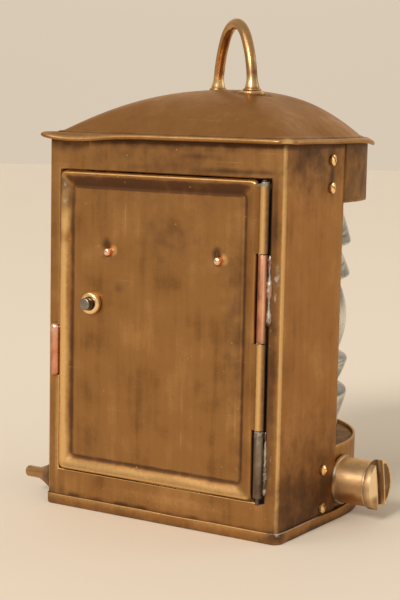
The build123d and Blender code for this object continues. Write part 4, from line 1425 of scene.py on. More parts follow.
@dataclass
class Roof(Part):
    """The domed roof with its flat brim and rolled edge."""

    soft_edge: float = 0.1
    overhang: float = 3.0
    inset: float = 0.9
    rise: float = 17.4
    fullness: float = 2.5
    corner: float = 3.0
    crown_corner: float = 0.8
    brim_corner: float = 3.9
    edge_round: float = 0.85
    droop: float = 1.6
    front_droop: float = 1.5
    horn_lift: float = 0.7
    horn: tuple[float, float] = (-2.6, -1.0)
    corner_lift: float = 0.5
    corner_pull: float = 0.9
    brim_wave: Swell = Swell(0.42, 42.0, 31)
    dome_swell: Swell = Swell(0.22, 38.0, 32)
    brim_bulge: Swell = Swell(0.004, 30.0, 33)

    def __post_init__(self) -> None:
        """Take the case's plan and height from the frame."""
        low, high = node_box("case_shell")
        self.half, self.back, self.brim = high[0], -low[1], high[2]

    def rows(self) -> tuple[Array, Array, Array, Array, Array]:
        """The rings of the roof, from the crown (level 0) over the dome's foot (1) to the rolled edge.

        Returns:
            Each ring's half width, back, corner, height and growth beyond the case.
        """
        level = chain(np.linspace(0, 0.86, 34), np.linspace(0.88, 0.965, 7))
        half, back = (self.half - self.inset) * level, (self.back - self.inset) * level
        rounder = self.crown_corner * (self.back - self.inset) - self.corner
        corner = (self.corner + rounder * (1 - level)) * level
        dome = self.brim + self.rise * (1 - level ** self.fullness)
        top, radius = self.brim + self.sheet, self.edge_round
        foot = np.array([[-1.8, 0.42], [-1.4, 0.12], [-1.0, 0.0], [-0.4, -0.03], [0.4, -0.05], [1.4, -0.02]])
        roll = arc((self.overhang - radius, top - radius), radius, 90, -120, 15)
        growth, height = chain(foot + [0, top], roll).T
        return (chain(half, self.half + growth), chain(back, self.back + growth),
                chain(corner, np.maximum(self.brim_corner + growth, 1.0)),
                chain(dome, height), chain(np.full(len(level), -self.overhang), growth))

    def build(self) -> None:
        """Make the roof as one sheet, with the dents and the hanging corner of its brim."""
        half, back, corner, height, growth = self.rows()
        points = stacked(d_outline(half, back, corner), height)
        flat = points.copy()
        edge = flat * [1, 1, 0]
        out = smooth(growth, 0.2, self.overhang)[:, None]
        dome = smooth(growth, -0.8, -1.9)[:, None]
        left, front, tip, right = (Blot(1.0, centre, reach).at(edge) for centre, reach in (
            ((-self.half + 13, -self.back - 3, 0), (17, 6, 1)),
            ((self.half - 5, 29, 0), (16, 16, 1)),
            ((-self.half - 3, -self.back - 3, 0), (6, 6, 1)),
            ((self.half + 1, -self.back - 1, 0), (2, 2, 1))))
        points[..., 2] += out * (self.brim_wave.at(edge) - self.droop * left + self.corner_lift * right
                                 + self.horn_lift * tip - self.front_droop * front)
        points[..., 2] += dome * self.dome_swell.at(flat)
        points[..., :2] -= (out * right * self.corner_pull)[..., None] * np.sign(points[..., :2])
        points[..., :2] += (out * tip)[..., None] * self.horn
        points[..., :2] *= 1 + (out * self.brim_bulge.at(edge))[..., None]
        skin = Skin.grid(points, loop=True).facing((0, 0, 120))
        # The top of the rolled edge brighter, and a painted highlight at the near right corner.
        rolled = bell(growth, self.overhang - 0.5, 0.7) * (height > self.brim - 0.1)
        skin.rub(0.52 * rolled[:, None], 1.2 * right * out)
        skin.redden(0.5 * dome)
        # A darker band where the dome meets the brim.
        skin.stain(0.75 * bell(growth, -1.1, 0.9)[:, None])
        # Painted shadow in a ring round each of the loop's washers.
        for foot in Loop(self.shop).feet():
            away = np.linalg.norm(flat[..., :2] - foot, axis=-1)
            skin.stain(0.6 * bell(away, 6.6, 1.6) * (dome > 0.5))
        self.press("domed_roof", skin, "roof")


@dataclass
class Loop(Part):
    """The carrying loop: an arch of rod with spread feet, a ring and a washer below each."""

    rod: float = 2.0
    rod_sides: int = 28
    half_span: float = 18.0
    rise: float = 26.0
    top_radius: float = 14.0
    turn: float = -38.0
    flare: float = 0.75
    flare_height: float = 2.2
    tail: float = 4.0
    foot_drop: float = 1.2
    dents: Swell = Swell(0.06, 16.0, 41)
    stain: Swell = Swell(1.0, 22.0, 42)
    ring_round: float = 0.4
    washer_round: float = 0.35

    def feet(self) -> Array:
        """The two places on the dome where the loop stands, in plan."""
        way = np.radians([self.turn, self.turn + 180])
        return self.half_span * spread(np.cos(way), np.sin(way))

    def arch(self) -> Array:
        """The middle of the rod: two wide side arcs that meet a top arc, and straight tails.

        Returns:
            Points of the path, from one tail to the other.
        """
        foot = node_box("handle_rings")[0][2] - self.foot_drop
        top = self.rise - self.top_radius
        span, cap = self.half_span, self.top_radius
        side = (span ** 2 + top ** 2 - cap ** 2) / (2 * (span - cap))
        middle = side - span
        lean = math.degrees(math.atan2(top, middle))
        tail = [[span, -self.tail], [span, -self.tail / 2]]
        right = chain(tail, arc((-middle, 0), side, 0, lean, 26), arc((0, top), cap, lean, 90, 22)[1:])
        flat = chain(right, (right * [-1, 1])[-2::-1])
        way = math.radians(self.turn)
        return spread(flat[:, 0] * math.cos(way), flat[:, 0] * math.sin(way), flat[:, 1] + foot)

    def build(self) -> None:
        """Make the loop, its rings and its washers, and dress the nuts below the dome."""
        path = self.arch()
        low, seat = (corner[2] for corner in node_box("handle_rings"))
        above = path[:, 2] - seat
        radius = self.rod + self.flare * bell(np.maximum(above, 0), 0, self.flare_height) * (above > -2.2)
        way = math.radians(self.turn)
        skin = rod(path, radius, (math.sin(way), -math.cos(way), 0.0), self.rod_sides)
        skin.points += self.dents.at(skin.points)[:, None]
        height = skin.points[:, 2] - seat
        skin.stain(0.55 * smooth(self.stain.at(skin.points), 0.0, 0.5), 0.9 * bell(height, -0.2, 0.5))
        # A painted highlight a little above each foot.
        skin.rub(0.8 * bell(height, 2.5, 3.0))
        self.shop.piece("carrying_loop", skin, HANDLED_BRASS, "handle")
        ring = rounded([(1.9, 0), (3.35, 0), (3.35, 0.85), (1.9, 0.95), (1.9, 0)], self.ring_round)
        washer = rounded([(2.0, -1.9), (5.0, -1.9), (4.95, -0.35), (4.3, 0.0), (2.0, 0.0), (2.0, -1.9)],
                         self.washer_round)
        rings, washers = (joined(*(lathe(Seat((x, y, low)), profile) for x, y in self.feet()))
                          for profile in (ring, washer))
        # Painted shade under the rings and under the washers, and a painted highlight on the washers' top
        # edge.
        rings.stain(0.8 * smooth(rings.points[:, 2], low + 0.4, low))
        washers.stain(0.85 * smooth(washers.points[:, 2], low - 0.7, low - 1.5))
        washers.rub(0.8 * bell(washers.points[:, 2], low - 0.2, 0.3))
        self.shop.piece("loop_rings", rings, HANDLED_BRASS, "handle_rings")
        self.shop.piece("loop_washers", washers, HANDLED_BRASS, "handle_washers")
        self.shop.dress(BRIGHT_BRASS, "handle_nuts")


@dataclass
class SideFittings(Part):
    """What the side walls carry: slotted screws, the tube with its plug, and the stud."""

    screw_head: float = 1.9
    head_height: float = 1.4
    slot: float = 0.7
    slot_depth: float = 0.6
    hood_crown: float = 0.35
    base_crown: float = 0.75
    hood_turns: tuple[float, ...] = (62, 38, 75, 15)
    base_turns: tuple[float, ...] = (28, 70, 50, 10)
    screw_soft: float = 0.12
    tube: float = 8.5
    tube_round: float = 0.3
    tube_flare: float = 0.12
    tube_segments: int = 80
    bore: float = 6.8
    collar: float = 0.85
    collar_dents: Swell = Swell(0.35, 6.0, 51)
    collar_tin: Swell = Swell(0.35, 8.0, 52, 0.42)
    collar_stain: Swell = Swell(0.5, 9.0, 53, 0.6)
    plug: SlottedHead = SlottedHead(9.2, 3.0, 5.2, 2.4, 0.25)
    plug_gap: float = 0.06
    plug_chamfer: float = 0.5
    plug_tilt: float = 10.0
    plug_soft: float = 0.25
    boss: float = 6.2
    boss_length: float = 7.9
    stud_tip: float = 0.7

    def screws(self, node: str, crown: float, turns: tuple[float, ...]) -> Skin:
        """Four slotted heads on the side walls, each with its own turn of the slot.

        Args:
            node: the screws that they stand for.
            crown: how much lower a head is at its rim.
            turns: the slots' angles, in degrees.

        Returns:
            The heads.
        """
        low, high = node_box(node)
        wall, y = high[0] - self.head_height, (low[1] + high[1]) / 2
        shape = SlottedHead(self.screw_head, self.head_height, self.slot, self.slot_depth, crown)
        levels = low[2] + shape.radius, high[2] - shape.radius
        places = [(side, level) for side in (1, -1) for level in levels]
        heads = []
        for (side, level), way in zip(places, np.radians(turns)):
            head = shape.skin(Seat((side * wall, y, level), (0, math.cos(way), math.sin(way)), (side, 0, 0)))
            depth = np.abs(head.points[:, 0]) - wall
            # Painted shade round the foot of each head, and its top brightened, rubbing and a painted
            # highlight.
            head.stain(0.9 * smooth(depth, 0.5, 0.1))
            heads.append(head.rub(smooth(depth, 0.5, 1.1)))
        return joined(*heads)

    def tube_skin(self) -> Skin:
        """The tube with its rounded end, and the uneven ring of solder at its root.

        Returns:
            Both as one skin.
        """
        low, high = node_box("side_tube")
        wall_x, y, z = node_box("case_shell")[1][0], (low[1] + high[1]) / 2, (low[2] + high[2]) / 2
        root = Seat((wall_x, y, z), AHEAD, RIGHT)
        end, inside = high[0] - wall_x, low[0] - wall_x
        profile = rounded([(self.bore, inside), (self.tube, inside), (self.tube, end * 0.5),
                           (self.tube + self.tube_flare / 4, end - 0.9), (self.tube + self.tube_flare, end),
                           (self.bore, end), (self.bore, inside)], self.tube_round)
        tube = lathe(root, profile, self.tube_segments)
        out, up = tube.points[:, 0] - wall_x, tube.points[:, 2] - z
        over = np.degrees(np.arctan2(up, y - tube.points[:, 1]))
        # Painted shade at the root, painted highlights on the rim of the end and in a band along the upper
        # side, and the lower half reddened.
        tube.stain(0.75 * smooth(out, 2.6, 0.6))
        tube.rub(0.85 * bell(out, end - 0.35, 0.5), 0.9 * bell(over, 42, 22) * smooth(out, 1.5, 4.0))
        tube.redden(0.75 * smooth(-up, 0.0, 5.0) * smooth(out, 0.5, 3.0))
        turn = np.linspace(0, FULL_TURN, 13)[:-1]
        bead = spread(self.tube + 0.15 + self.collar * 0.75 * np.cos(turn),
                      0.1 + self.collar * np.sin(turn))
        ring = lathe(root, chain(bead, bead[:1]), self.tube_segments)
        ring.points += self.collar_dents.at(ring.points)[:, None] * [0.7, 0.5, 0.5]
        ring.tin(self.collar_tin.at(ring.points))
        ring.stain(self.collar_stain.at(ring.points))
        return joined(tube, ring)

    def plug_skin(self) -> Skin:
        """The plug: a head with a wide slot, on a spigot that goes into the tube.

        Returns:
            Both as one skin.
        """
        low, high = node_box("tube_plug")
        shape, way = self.plug, math.radians(self.plug_tilt)
        start = np.array([high[0] - shape.height, (low[1] + high[1]) / 2, (low[2] + high[2]) / 2])
        seat = Seat(tuple(start), (0, math.cos(way), math.sin(way)), RIGHT)
        head = shape.skin(seat)
        spigot, back = self.bore - self.plug_gap, low[0] - start[0]
        stem = lathe(seat, [(0, back), (spigot - self.plug_chamfer, back), (spigot, back + self.plug_chamfer),
                            (spigot, 0), (shape.radius, 0)], 72)
        away = head.points - start
        out, across = away[:, 0], away @ np.array(seat.across)
        in_slot = np.abs(across) < shape.slot / 2 + 0.02
        face = (out > shape.height - 0.6) & ~in_slot
        below = smooth(-away[:, 2], 2.0, 5.0)
        hollow = np.linalg.norm(away[:, 1:], axis=1) < shape.radius - 0.9
        # A painted highlight on the upper part of the near land, and painted shade at the head's foot, on the
        # lower part of the near land, on the far land and down in the slot.
        head.rub(0.9 * face * (across < 0) * (1 - below))
        head.stain(0.8 * smooth(out, 1.0, 0.2), 0.55 * face * (across < 0) * below,
                   0.9 * face * (across > 0) * hollow, 0.85 * in_slot * (out < shape.height - 0.3))
        return joined(head, stem)

    def stud(self) -> Skin:
        """The stud: a boss with a hollow slope that runs out into a round-ended pin.

        Returns:
            The closed skin.
        """
        low, high = node_box("side_stud")
        wall = node_box("case_shell")[0][0]
        seat = Seat((wall, (low[1] + high[1]) / 2, high[2] - self.boss), AHEAD, LEFT)
        reach, tip = wall - low[0], self.stud_tip
        slope = np.linspace(0, 1, 9)
        boss = spread(2.3 + 3.9 * (1 - slope) ** 1.2, 0.6 + self.boss_length * slope)
        end = arc((reach - tip, 2 * tip), tip, 90, 0, 5)[:, ::-1]
        profile = chain([(0, -0.5), (self.boss, -0.5)], boss, [(2.1, 9.0)], end, [(0, reach)])
        skin = lathe(seat, profile)
        out = wall - skin.points[:, 0]
        # Painted shade on the boss, and the pin's tip lighter.
        skin.stain(0.75 * smooth(out, 9.0, 3.0))
        return skin.rub(0.4 * smooth(out, reach - 3, reach))

    def build(self) -> None:
        """Make the screws, the tube, the plug and the stud, and dress the nuts behind them."""
        for place, crown, turns in (("hood", self.hood_crown, self.hood_turns),
                                    ("base", self.base_crown, self.base_turns)):
            node = f"{place}_screws"
            self.shop.piece(f"{place}_slotted_screws", self.screws(node, crown, turns), BRIGHT_BRASS, node,
                            bevel=self.screw_soft)
        self.shop.piece("wall_tube", self.tube_skin(), SATIN_BRASS, "side_tube")
        self.shop.piece("slotted_plug", self.plug_skin(), SATIN_BRASS, "tube_plug", Body.PLUG,
                        bevel=self.plug_soft)
        self.shop.piece("bracket_stud", self.stud(), HANDLED_BRASS, "side_stud")
        self.shop.dress(BRIGHT_BRASS, "hood_screw_nuts", "base_screw_nuts", "side_stud_nut")


# Dark blots on the door's panel: strength, middle across and up, reach across and up. The first three are
# painted shade on the panel's right side and upper part, the last two dirt.
DOOR_SHADE_AND_DIRT = ((0.66, 37, 80, 12, 55), (0.46, 0, 124, 60, 14), (0.50, 4, 104, 17, 13),
               (0.55, -18.5, 84, 3, 3), (0.36, -30, 26, 9, 12))


@dataclass
class Door(Part):
    """The pressed door with its rounded border and rolled knuckles, and what it carries."""

    sheet: float = 0.5
    soft_edge: float = 0.08
    bead: float = 5.0
    bead_height: float = 1.5
    crest: float = 1.1
    groove: float = 1.6
    corner: float = 2.2
    inner_corner: float = 2.2
    panel_columns: int = 76
    panel_rows: int = 104
    hinge_side: float = 40.0
    hinge_tube: float = 1.65
    knuckle_gap: float = 0.2
    knuckle_inset: float = 0.6
    torn: float = 1.6
    web_steps: int = 11
    dimple: float = 0.8
    dimple_reach: float = 3.4
    dimple_rise: float = 0.6
    rivet_tail: float = 1.3
    rivet_head: float = 1.65
    rivet_height: float = 1.25
    inside: Place = (0, 0, 70)
    swell: Swell = Swell(0.20, 62.0, 61)
    wobble: Swell = Swell(0.16, 24.0, 62)
    patches: Swell = Swell(0.5, 15.0, 63, 0.5)
    jags: Swell = Swell(1.0, 1.7, 64)
    hammer: Swell = Swell(0.10, 2.4, 65)

    def __post_init__(self) -> None:
        """Take the door's edges, the hinge line and the fittings' places from the frame."""
        low, high = node_box("door_panel")
        self.face = node_box("case_shell")[0][1]
        low, high = np.array([low[0], low[2]]), np.array([self.hinge_side, high[2]])
        self.middle, self.half = (low + high) / 2, (high - low) / 2
        pin = node_box("hinge_pin")
        self.hinge, self.pin_top = (pin[0][:2] + pin[1][:2]) / 2, pin[1][2]
        rivets = node_box("reflector_rivets")
        self.rivet_level, self.rivet_end = (rivets[0][2] + rivets[1][2]) / 2, rivets[1][1]
        self.rivet_half = rivets[1][0] - self.rivet_tail

    def stand(self, plan: Array, lift: Array) -> Array:
        """Points in space from places on the door's face and how far they stand out of it."""
        return spread(plan[..., 0], self.face - lift, plan[..., 1])

    def relief(self, plan: Array) -> Array:
        """How far the panel stands out: a slow swell, with a dimple at each rivet.

        Args:
            plan: places on the door's face.

        Returns:
            The lift of each place.
        """
        lift = self.swell.at(on_plane(plan))
        for side in (-1, 1):
            hollow = [side * self.rivet_half, self.rivet_level + self.dimple_rise]
            lift -= self.dimple * bell(np.linalg.norm(plan - hollow, axis=-1), 0, self.dimple_reach)
        return lift

    def carried(self, loop: Array, depth: Array, inset: float) -> Array:
        """The panel's edge carried outwards ring by ring, with rounded corners.

        Args:
            loop: the panel's edge, about the door's middle.
            depth: each ring's distance in from the door's edge.
            inset: that distance at the panel's edge.

        Returns:
            The rings' points on the door's face.
        """
        edge = (self.half - depth[:, None])[:, None]
        ring = loop[None] * edge / (self.half - inset)
        inner_round = self.inner_corner * smooth(depth, inset - 0.3, self.bead)
        radius = np.maximum(self.corner - depth, inner_round)[:, None, None]
        past = np.abs(ring) - (edge - radius)
        in_corner = (past > 0).all(axis=-1, keepdims=True) & (radius > 0)
        length = np.maximum(np.linalg.norm(past, axis=-1, keepdims=True), TINY)
        drawn = np.sign(ring) * (edge - radius + past * radius / length)
        return np.where(in_corner, drawn, ring) + self.middle

    def pressing(self) -> Skin:
        """The panel as a plain grid, and its border as a profile carried round the grid's edge.

        Returns:
            The sheet's outer face.
        """
        inset = self.bead + self.groove
        columns = np.linspace(-1, 1, self.panel_columns) * (self.half[0] - inset)
        levels = np.linspace(-1, 1, self.panel_rows) * (self.half[1] - inset)
        plan = np.stack(np.meshgrid(columns, levels), -1)
        fade = smooth((self.half - np.abs(plan)).min(axis=-1) - inset, 0.0, 6.0)
        plan = plan + self.middle
        panel = Skin.grid(self.stand(plan, fade * self.relief(plan)))
        turn = np.linspace(QUARTER, 0, 10)
        share = np.linspace(1, 0, 13)[:-1]
        depth = chain([inset, inset - 0.4, inset - 0.9, self.bead + 0.3],
                      self.crest + (self.bead - self.crest) * share, self.crest * (1 - np.cos(turn)))
        lift = chain([0.0, 0.03, -0.16, -0.14], self.bead_height * (1 - share ** 1.5),
                     self.bead_height * np.sin(turn))[:, None]
        ring = self.carried(border(columns, levels), depth, inset)
        wobble = self.wobble.at(on_plane(ring)) * smooth(lift, 0.2, 1.4)
        edge = Skin.grid(self.stand(ring, lift + wobble), loop=True)
        self.finish_border(edge, ring, depth[:, None])
        self.finish_panel(panel, on_plane(plan))
        return joined(panel.facing(self.inside), edge.facing(self.inside))

    def finish_border(self, skin: Skin, ring: Array, depth: Array) -> None:
        """Brighten the border at the left and below with rubbing and painted highlights, darken it above with
        painted shade and a red painted reflection, shade its groove, and tin and redden its left side.

        Args:
            skin: the border.
            ring: its points on the door's face.
            depth: each ring's distance in from the door's edge.
        """
        from_edge = self.half - np.abs(ring - self.middle)
        upright = smooth(from_edge[..., 1] - from_edge[..., 0], -1.8, 1.8)
        level = ring[..., 1]
        left = upright * (ring[..., 0] < self.middle[0])
        low = (1 - upright) * (level < self.middle[1])
        top = (1 - upright) * (level > self.middle[1])
        crest = bell(depth, self.bead / 2 - 0.3, 2.0)
        outer = bell(depth, self.crest - 0.4, 0.45)
        patch = self.patches.at(on_plane(ring))
        red = left * (bell(level, 82, 16) + 0.6 * bell(level, 42, 16)) * bell(ring[..., 0], 0, 99)
        red = red * smooth(depth, 2.0, 3.6) + left * bell(level, 101.5, 3) * bell(ring[..., 0], 0, 99)
        # The crests at the left and below take rubbing and a painted highlight; the top's outer edge and a
        # thin line just inside the groove take a painted highlight.
        crest_light_and_rubbing = crest * (left * (0.82 + 0.35 * patch) * (1 - 0.6 * red) + low * (0.5 + 0.4 * patch))
        skin.rub(crest_light_and_rubbing + outer * (0.55 * top + 0.5 * low),
                 0.3 * bell(depth, self.bead + 1.35, 0.3) * (0.3 + top))
        # Painted shade in the groove and on the upper slope; the top of the left side darker.
        skin.stain(0.9 * bell(depth, self.bead + 0.3, 1.0), 0.9 * top * smooth(depth, 0.7, 2.6),
                   0.72 * left * smooth(level, 104, 117))
        skin.tin(0.62 * left * crest * smooth(level, 104, 111) * (0.5 + 0.5 * patch))
        # Reddish copper patches on the left, and on the upper slope a red painted reflection.
        skin.redden(red * (0.6 + 0.5 * patch) + 0.8 * top * smooth(depth, 1.0, 2.4))

    def finish_panel(self, skin: Skin, flat: Array) -> None:
        """Darken the panel round the knob and along its edges with dirt and painted shade, and paint shade in
        the dimple above each rivet with a highlight beside it.

        Args:
            skin: the panel.
            flat: its points on the door's face.
        """
        level = self.rivet_level
        skin.blot(*(Blot(strength, (x, z, 0), (wide, tall, 1)) for strength, x, z, wide, tall in DOOR_SHADE_AND_DIRT),
                  where=flat)
        # Painted shade in each rivet's dimple, above it and below to the left, and a painted highlight on the
        # dimple's right side.
        for x in (-self.rivet_half, self.rivet_half):
            skin.blot(Blot(1.0, (x - 0.6, level + 2.5, 0), (2.3, 3.2, 1)),
                      Blot(0.6, (x - 1.5, level - 1.5, 0), (2.2, 2.8, 1)),
                      Blot(1.2, (x + 2.5, level + 0.6, 0), (1.7, 2.0, 1), Channel.WEAR), where=flat)

    def knuckle(self, low: float, high: float, torn: float) -> Skin:
        """A rolled knuckle: the border's sheet runs out, curls round the hinge pin and comes back.

        Args:
            low: its lower end.
            high: its upper end.
            torn: how far the upper end is torn away beside the border.

        Returns:
            The outer face of the rolled sheet.
        """
        curl = arc(tuple(self.hinge), self.hinge_tube, 236, 520, 44)
        begin = np.array([self.hinge_side - 2.6, self.face - self.bead_height * 0.78])
        pull = np.array([self.hinge[0] - 2.3, self.face - self.bead_height * 1.08])
        web = curve(begin, pull, curl[0], np.linspace(0, 1, self.web_steps + 1)[:-1, None])
        path = PlanPath(chain(web, curl))
        along, curl_start = path.length[None, :], path.length[self.web_steps]
        rise = np.linspace(0, 1, 40)[:, None]
        jag = self.jags.at(spread(path.length, 0.0, 0.0))[None, :]
        end = high - torn * (0.55 + 0.45 * jag) * bell(along, 2.6, 2.4)
        height = low + (end - low) * rise
        skin = Skin.grid(path.roll(along, height, 0.05 * jag * rise))
        # A painted highlight where the curl begins, tin along the rolled edge and the torn end, and the web
        # darker where it leaves the border.
        skin.rub(0.95 * bell(along, curl_start + 1.2, 1.3))
        skin.tin(0.8 * bell(along, curl_start + 3.4, 0.6),
                 0.65 * smooth(height, high - 1.3 - torn, high - torn * 0.6) * (torn > 0))
        skin.stain(0.4 * smooth(along, 3.2, 0.5))
        return skin.facing((*self.hinge, 90))

    def rivets(self) -> Skin:
        """Two hammered rivet heads outside, with their closed ends inside.

        Returns:
            Both rivets.
        """
        turn = np.linspace(0, QUARTER, 8)
        dome = spread(self.rivet_head * np.cos(turn), 0.3 + self.rivet_height * np.sin(turn))
        seat_y = self.face + 0.5
        inner = self.rivet_end - seat_y
        tail = [(0, -inner), (1.2, -inner), (self.rivet_tail, 0.6 - inner), (0.7, 0.6 - inner), (0.7, 0.0),
                (self.rivet_head, 0.0)]
        profile = chain(tail, dome)
        seats = (Seat((side * self.rivet_half, seat_y, self.rivet_level), RIGHT, BEHIND) for side in (-1, 1))
        skin = joined(*(lathe(seat, profile, 28) for seat in seats))
        skin.points += self.hammer.at(skin.points)[:, None]
        return skin.rub(0.85 * smooth(-skin.points[:, 1], -self.face + 0.3, -self.face + 0.9))

    def build(self) -> None:
        """Make the door, its rivets and its latch, and dress the reflector behind it."""
        lower, upper = (node_box(f"hinge_knuckle_{end}") for end in ("lower", "upper"))
        gap = self.knuckle_gap
        skin = joined(self.pressing(), self.knuckle(lower[1][2] + gap, upper[0][2] - gap, 0.0),
                      self.knuckle(upper[1][2] + gap, self.pin_top - self.knuckle_inset, self.torn))
        self.press("pressed_door", skin, "door_panel", Body.DOOR)
        self.shop.piece("door_rivets", self.rivets(), COPPER, "reflector_rivets", Body.DOOR)
        self.shop.dress(TINNED, "reflector_plate")
        self.shop.dress(MIRROR_TIN, "reflector_dish")
        Latch(self.shop).build()


@dataclass
class Latch(Part):
    """The latch: a brass collar on a steel spindle, with its tongue and nut inside."""

    collar: float = 4.3
    collar_height: float = 2.1
    collar_round: float = 0.45
    core: float = 2.3
    core_gap: float = 0.06
    core_reach: float = 1.9
    core_round: float = 0.7
    shaft: float = 1.5
    shaft_length: float = 2.5

    def build(self) -> None:
        """Make the collar and the spindle, and dress the tongue and the nut."""
        low, high = node_box("latch_spindle")
        face = node_box("latch_knob")[1][1]
        seat = Seat(((low[0] + high[0]) / 2, face, (low[2] + high[2]) / 2), RIGHT, BEHIND)
        hole, top = self.core + self.core_gap, self.collar_height
        ring = rounded([(hole, 0), (self.collar, 0), (self.collar, top - 0.9), (self.collar - 0.6, top),
                        (hole + 0.25, top + 0.1), (hole, top - 0.1), (hole, 0)], self.collar_round)
        # The collar brightened all over, rubbing and mostly a painted highlight, with painted shade at its
        # foot against the door.
        collar = lathe(seat, ring, 64).rub(0.9)
        collar.stain(0.9 * smooth(-collar.points[:, 1], -face + 0.5, -face))
        self.shop.piece("latch_collar", collar, BRIGHT_BRASS, "latch_knob", Body.LATCH)
        proud, tail = face - low[1] + self.core_reach, high[1] - face
        step = self.shaft_length - tail
        shaft = [(0, -tail), (self.shaft - 0.1, -tail), (self.shaft, 0.1 - tail), (self.shaft, step),
                 (self.core, step)]
        core = rounded([(self.core, step + 0.1), (self.core, proud), (0, proud + 0.1)], self.core_round)
        spindle = lathe(seat, chain(shaft, core), 48)
        # A painted highlight round the rim of the core's end.
        spindle.rub(0.6 * bell(face - spindle.points[:, 1], proud, 0.3))
        self.shop.piece("latch_core", spindle, DARK_STEEL, "latch_spindle", Body.LATCH)
        self.shop.dress(BRIGHT_BRASS, "latch_tongue", "latch_nut")


@dataclass
class Hinge(Part):
    """The case's knuckles with their solder, the hinge pin, the keeper tube at the free side, and a dark felt
    bar behind the hinge that stands in for the shade in the gap.
    """

    tube: float = 1.65
    bore: float = 0.85
    tube_soft: float = 0.22
    solder_length: float = 25.0
    lower_solder: SolderRun = SolderRun(1.0, 71)
    upper_solder: SolderRun = SolderRun(1.0, 76)
    keeper_bore: float = 0.6
    keeper_soft: float = 1.7
    keeper_swell: float = 0.28
    keeper_shift: float = 0.15
    keeper_solder: SolderRun = SolderRun(0.45, 81)
    keeper_stain: Swell = Swell(1.0, 9.0, 84)
    strip_width: float = 7.4
    strip_sheet: float = 0.7
    strip_inset: float = 3.45
    strip_overlap: float = 0.9
    strip_round: float = 0.2

    def __post_init__(self) -> None:
        """Take the hinge line and the knuckles' outer edge from the frame."""
        self.pin_low, self.pin_high = node_box("hinge_pin")
        self.line = (self.pin_low[:2] + self.pin_high[:2]) / 2
        self.edge = node_box("hinge_knuckle_upper")[1][0]

    def sleeve(self, seat: Seat, length: float, outer: float, bore: float, soft: float) -> Skin:
        """A short upright tube, its ends rounded over to the bore.

        Args:
            seat: where it stands.
            length: of the tube.
            outer: its outer radius.
            bore: radius of its bore.
            soft: height of its rounded ends.

        Returns:
            The closed skin, with painted shade at its foot.
        """
        turn = np.linspace(0, QUARTER, 8)
        end = spread(bore + (outer - bore) * np.cos(turn), soft * (1 - np.sin(turn)))
        profile = [end[::-1], [[outer, length / 2]], end * [1, -1] + [0, length], [[bore, 0]]]
        skin = lathe(seat, np.concatenate(profile), 40)
        return skin.stain(0.8 * np.exp(-(skin.points[:, 2] - seat.origin[2]) / 0.6))

    @staticmethod
    def side(skin: Skin, x: float, y: float) -> Array:
        """Angles about an upright line: 0 towards the back, rising to the right, in degrees."""
        return np.degrees(np.arctan2(skin.points[:, 0] - x, y - skin.points[:, 1]))

    def knuckle(self, node: str, tinned: bool, solder: SolderRun) -> Skin:
        """One of the case's knuckles, with the solder that holds it.

        Args:
            node: the knuckle that it stands for.
            tinned: whether it is tinned, or else copper.
            solder: the run of solder beside it.

        Returns:
            Both as one skin.
        """
        low, high = (corner[2] for corner in node_box(node))
        x, y = self.line
        sleeve = self.sleeve(Seat((x, y, low)), high - low, self.tube, self.bore, self.tube_soft)
        side = self.side(sleeve, x, y)
        sleeve.tin(0.6 * smooth(sleeve.points[:, 2], high - 3, high) * tinned)
        # Painted shade down the left and right sides and a painted highlight down the middle, as light would
        # fall on a round tube.
        sleeve.stain(0.6 * smooth(side, 22, -15) + 0.55 * smooth(side, 60, 80))
        sleeve.rub((0.3 if tinned else 0.85) * bell(side, 42, 13))
        joint, foot = (self.edge - 0.45, y + 1.05), max(low + 1.0, high - self.solder_length)
        return joined(sleeve, solder.skin((*joint, foot), (*joint, high - 0.3)))

    def keeper(self) -> Skin:
        """The copper tube at the free side, with its solder.

        Returns:
            Both as one skin.
        """
        low, high = node_box("keeper_tube")
        x, y = (low[:2] + high[:2]) / 2 - [self.keeper_shift, 0]
        seat = Seat((x, y - self.keeper_swell, low[2]))
        outer = (high[0] - low[0]) / 2 + self.keeper_swell
        sleeve = self.sleeve(seat, high[2] - low[2], outer, self.keeper_bore, self.keeper_soft)
        side = self.side(sleeve, x, y)
        # A painted highlight on the rounded top, painted shade down both sides, and random dirt.
        sleeve.rub(0.9 * smooth(sleeve.points[:, 2], high[2] - 2.6, high[2] - 1.2))
        sleeve.stain(0.6 * smooth(side, 15, -30) + 0.7 * smooth(side, 62, 85),
                     0.5 * smooth(self.keeper_stain.at(sleeve.points), 0.1, 0.5))
        joint = x - 1.5, y - 0.3
        return joined(sleeve, self.keeper_solder.skin((*joint, low[2] + 1), (*joint, high[2] - 1)))

    def strip(self) -> Skin:
        """A dark felt bar behind the hinge, put there as painted shade so that the gap beside the knuckles
        looks dark: a flat bar with a soft edge.

        Returns:
            The closed skin.
        """
        right = self.edge + self.strip_overlap
        front = node_box("case_shell")[0][1] + self.strip_inset
        left, rear = right - self.strip_width, front + self.strip_sheet
        low, high = self.pin_low[2], self.pin_high[2]
        outline = rounded([(left, front), (right, front), (right, rear), (left, rear), (left, front)],
                          self.strip_round)[:-1]
        middle = np.array([left + right, front + rear]) / 2
        height = np.pad(np.linspace(low, high, 60), 1, mode="edge")
        share = np.ones(len(height))
        share[[0, -1]] = 0.0
        return Skin.grid(stacked(middle + (outline - middle)[None] * share[:, None, None], height), loop=True)

    def build(self) -> None:
        """Make the knuckles, the keeper tube and their solder, dress the pin, and put the dark bar that
        shades the gap behind the hinge.
        """
        for end, finish, solder in (("lower", TINNED, self.lower_solder),
                                    ("upper", COPPER, self.upper_solder)):
            node = f"hinge_knuckle_{end}"
            self.shop.piece(f"{end}_knuckle", self.knuckle(node, finish is TINNED, solder), finish, node)
        self.shop.piece("keeper_sleeve", self.keeper(), COPPER, "keeper_tube")
        self.shop.dress(DARK_STEEL, "hinge_pin")
        # A dark felt bar put where there is only shade, so that the gap beside the hinge looks dark.
        self.shop.piece("draught_strip", self.strip(), FELT, None)


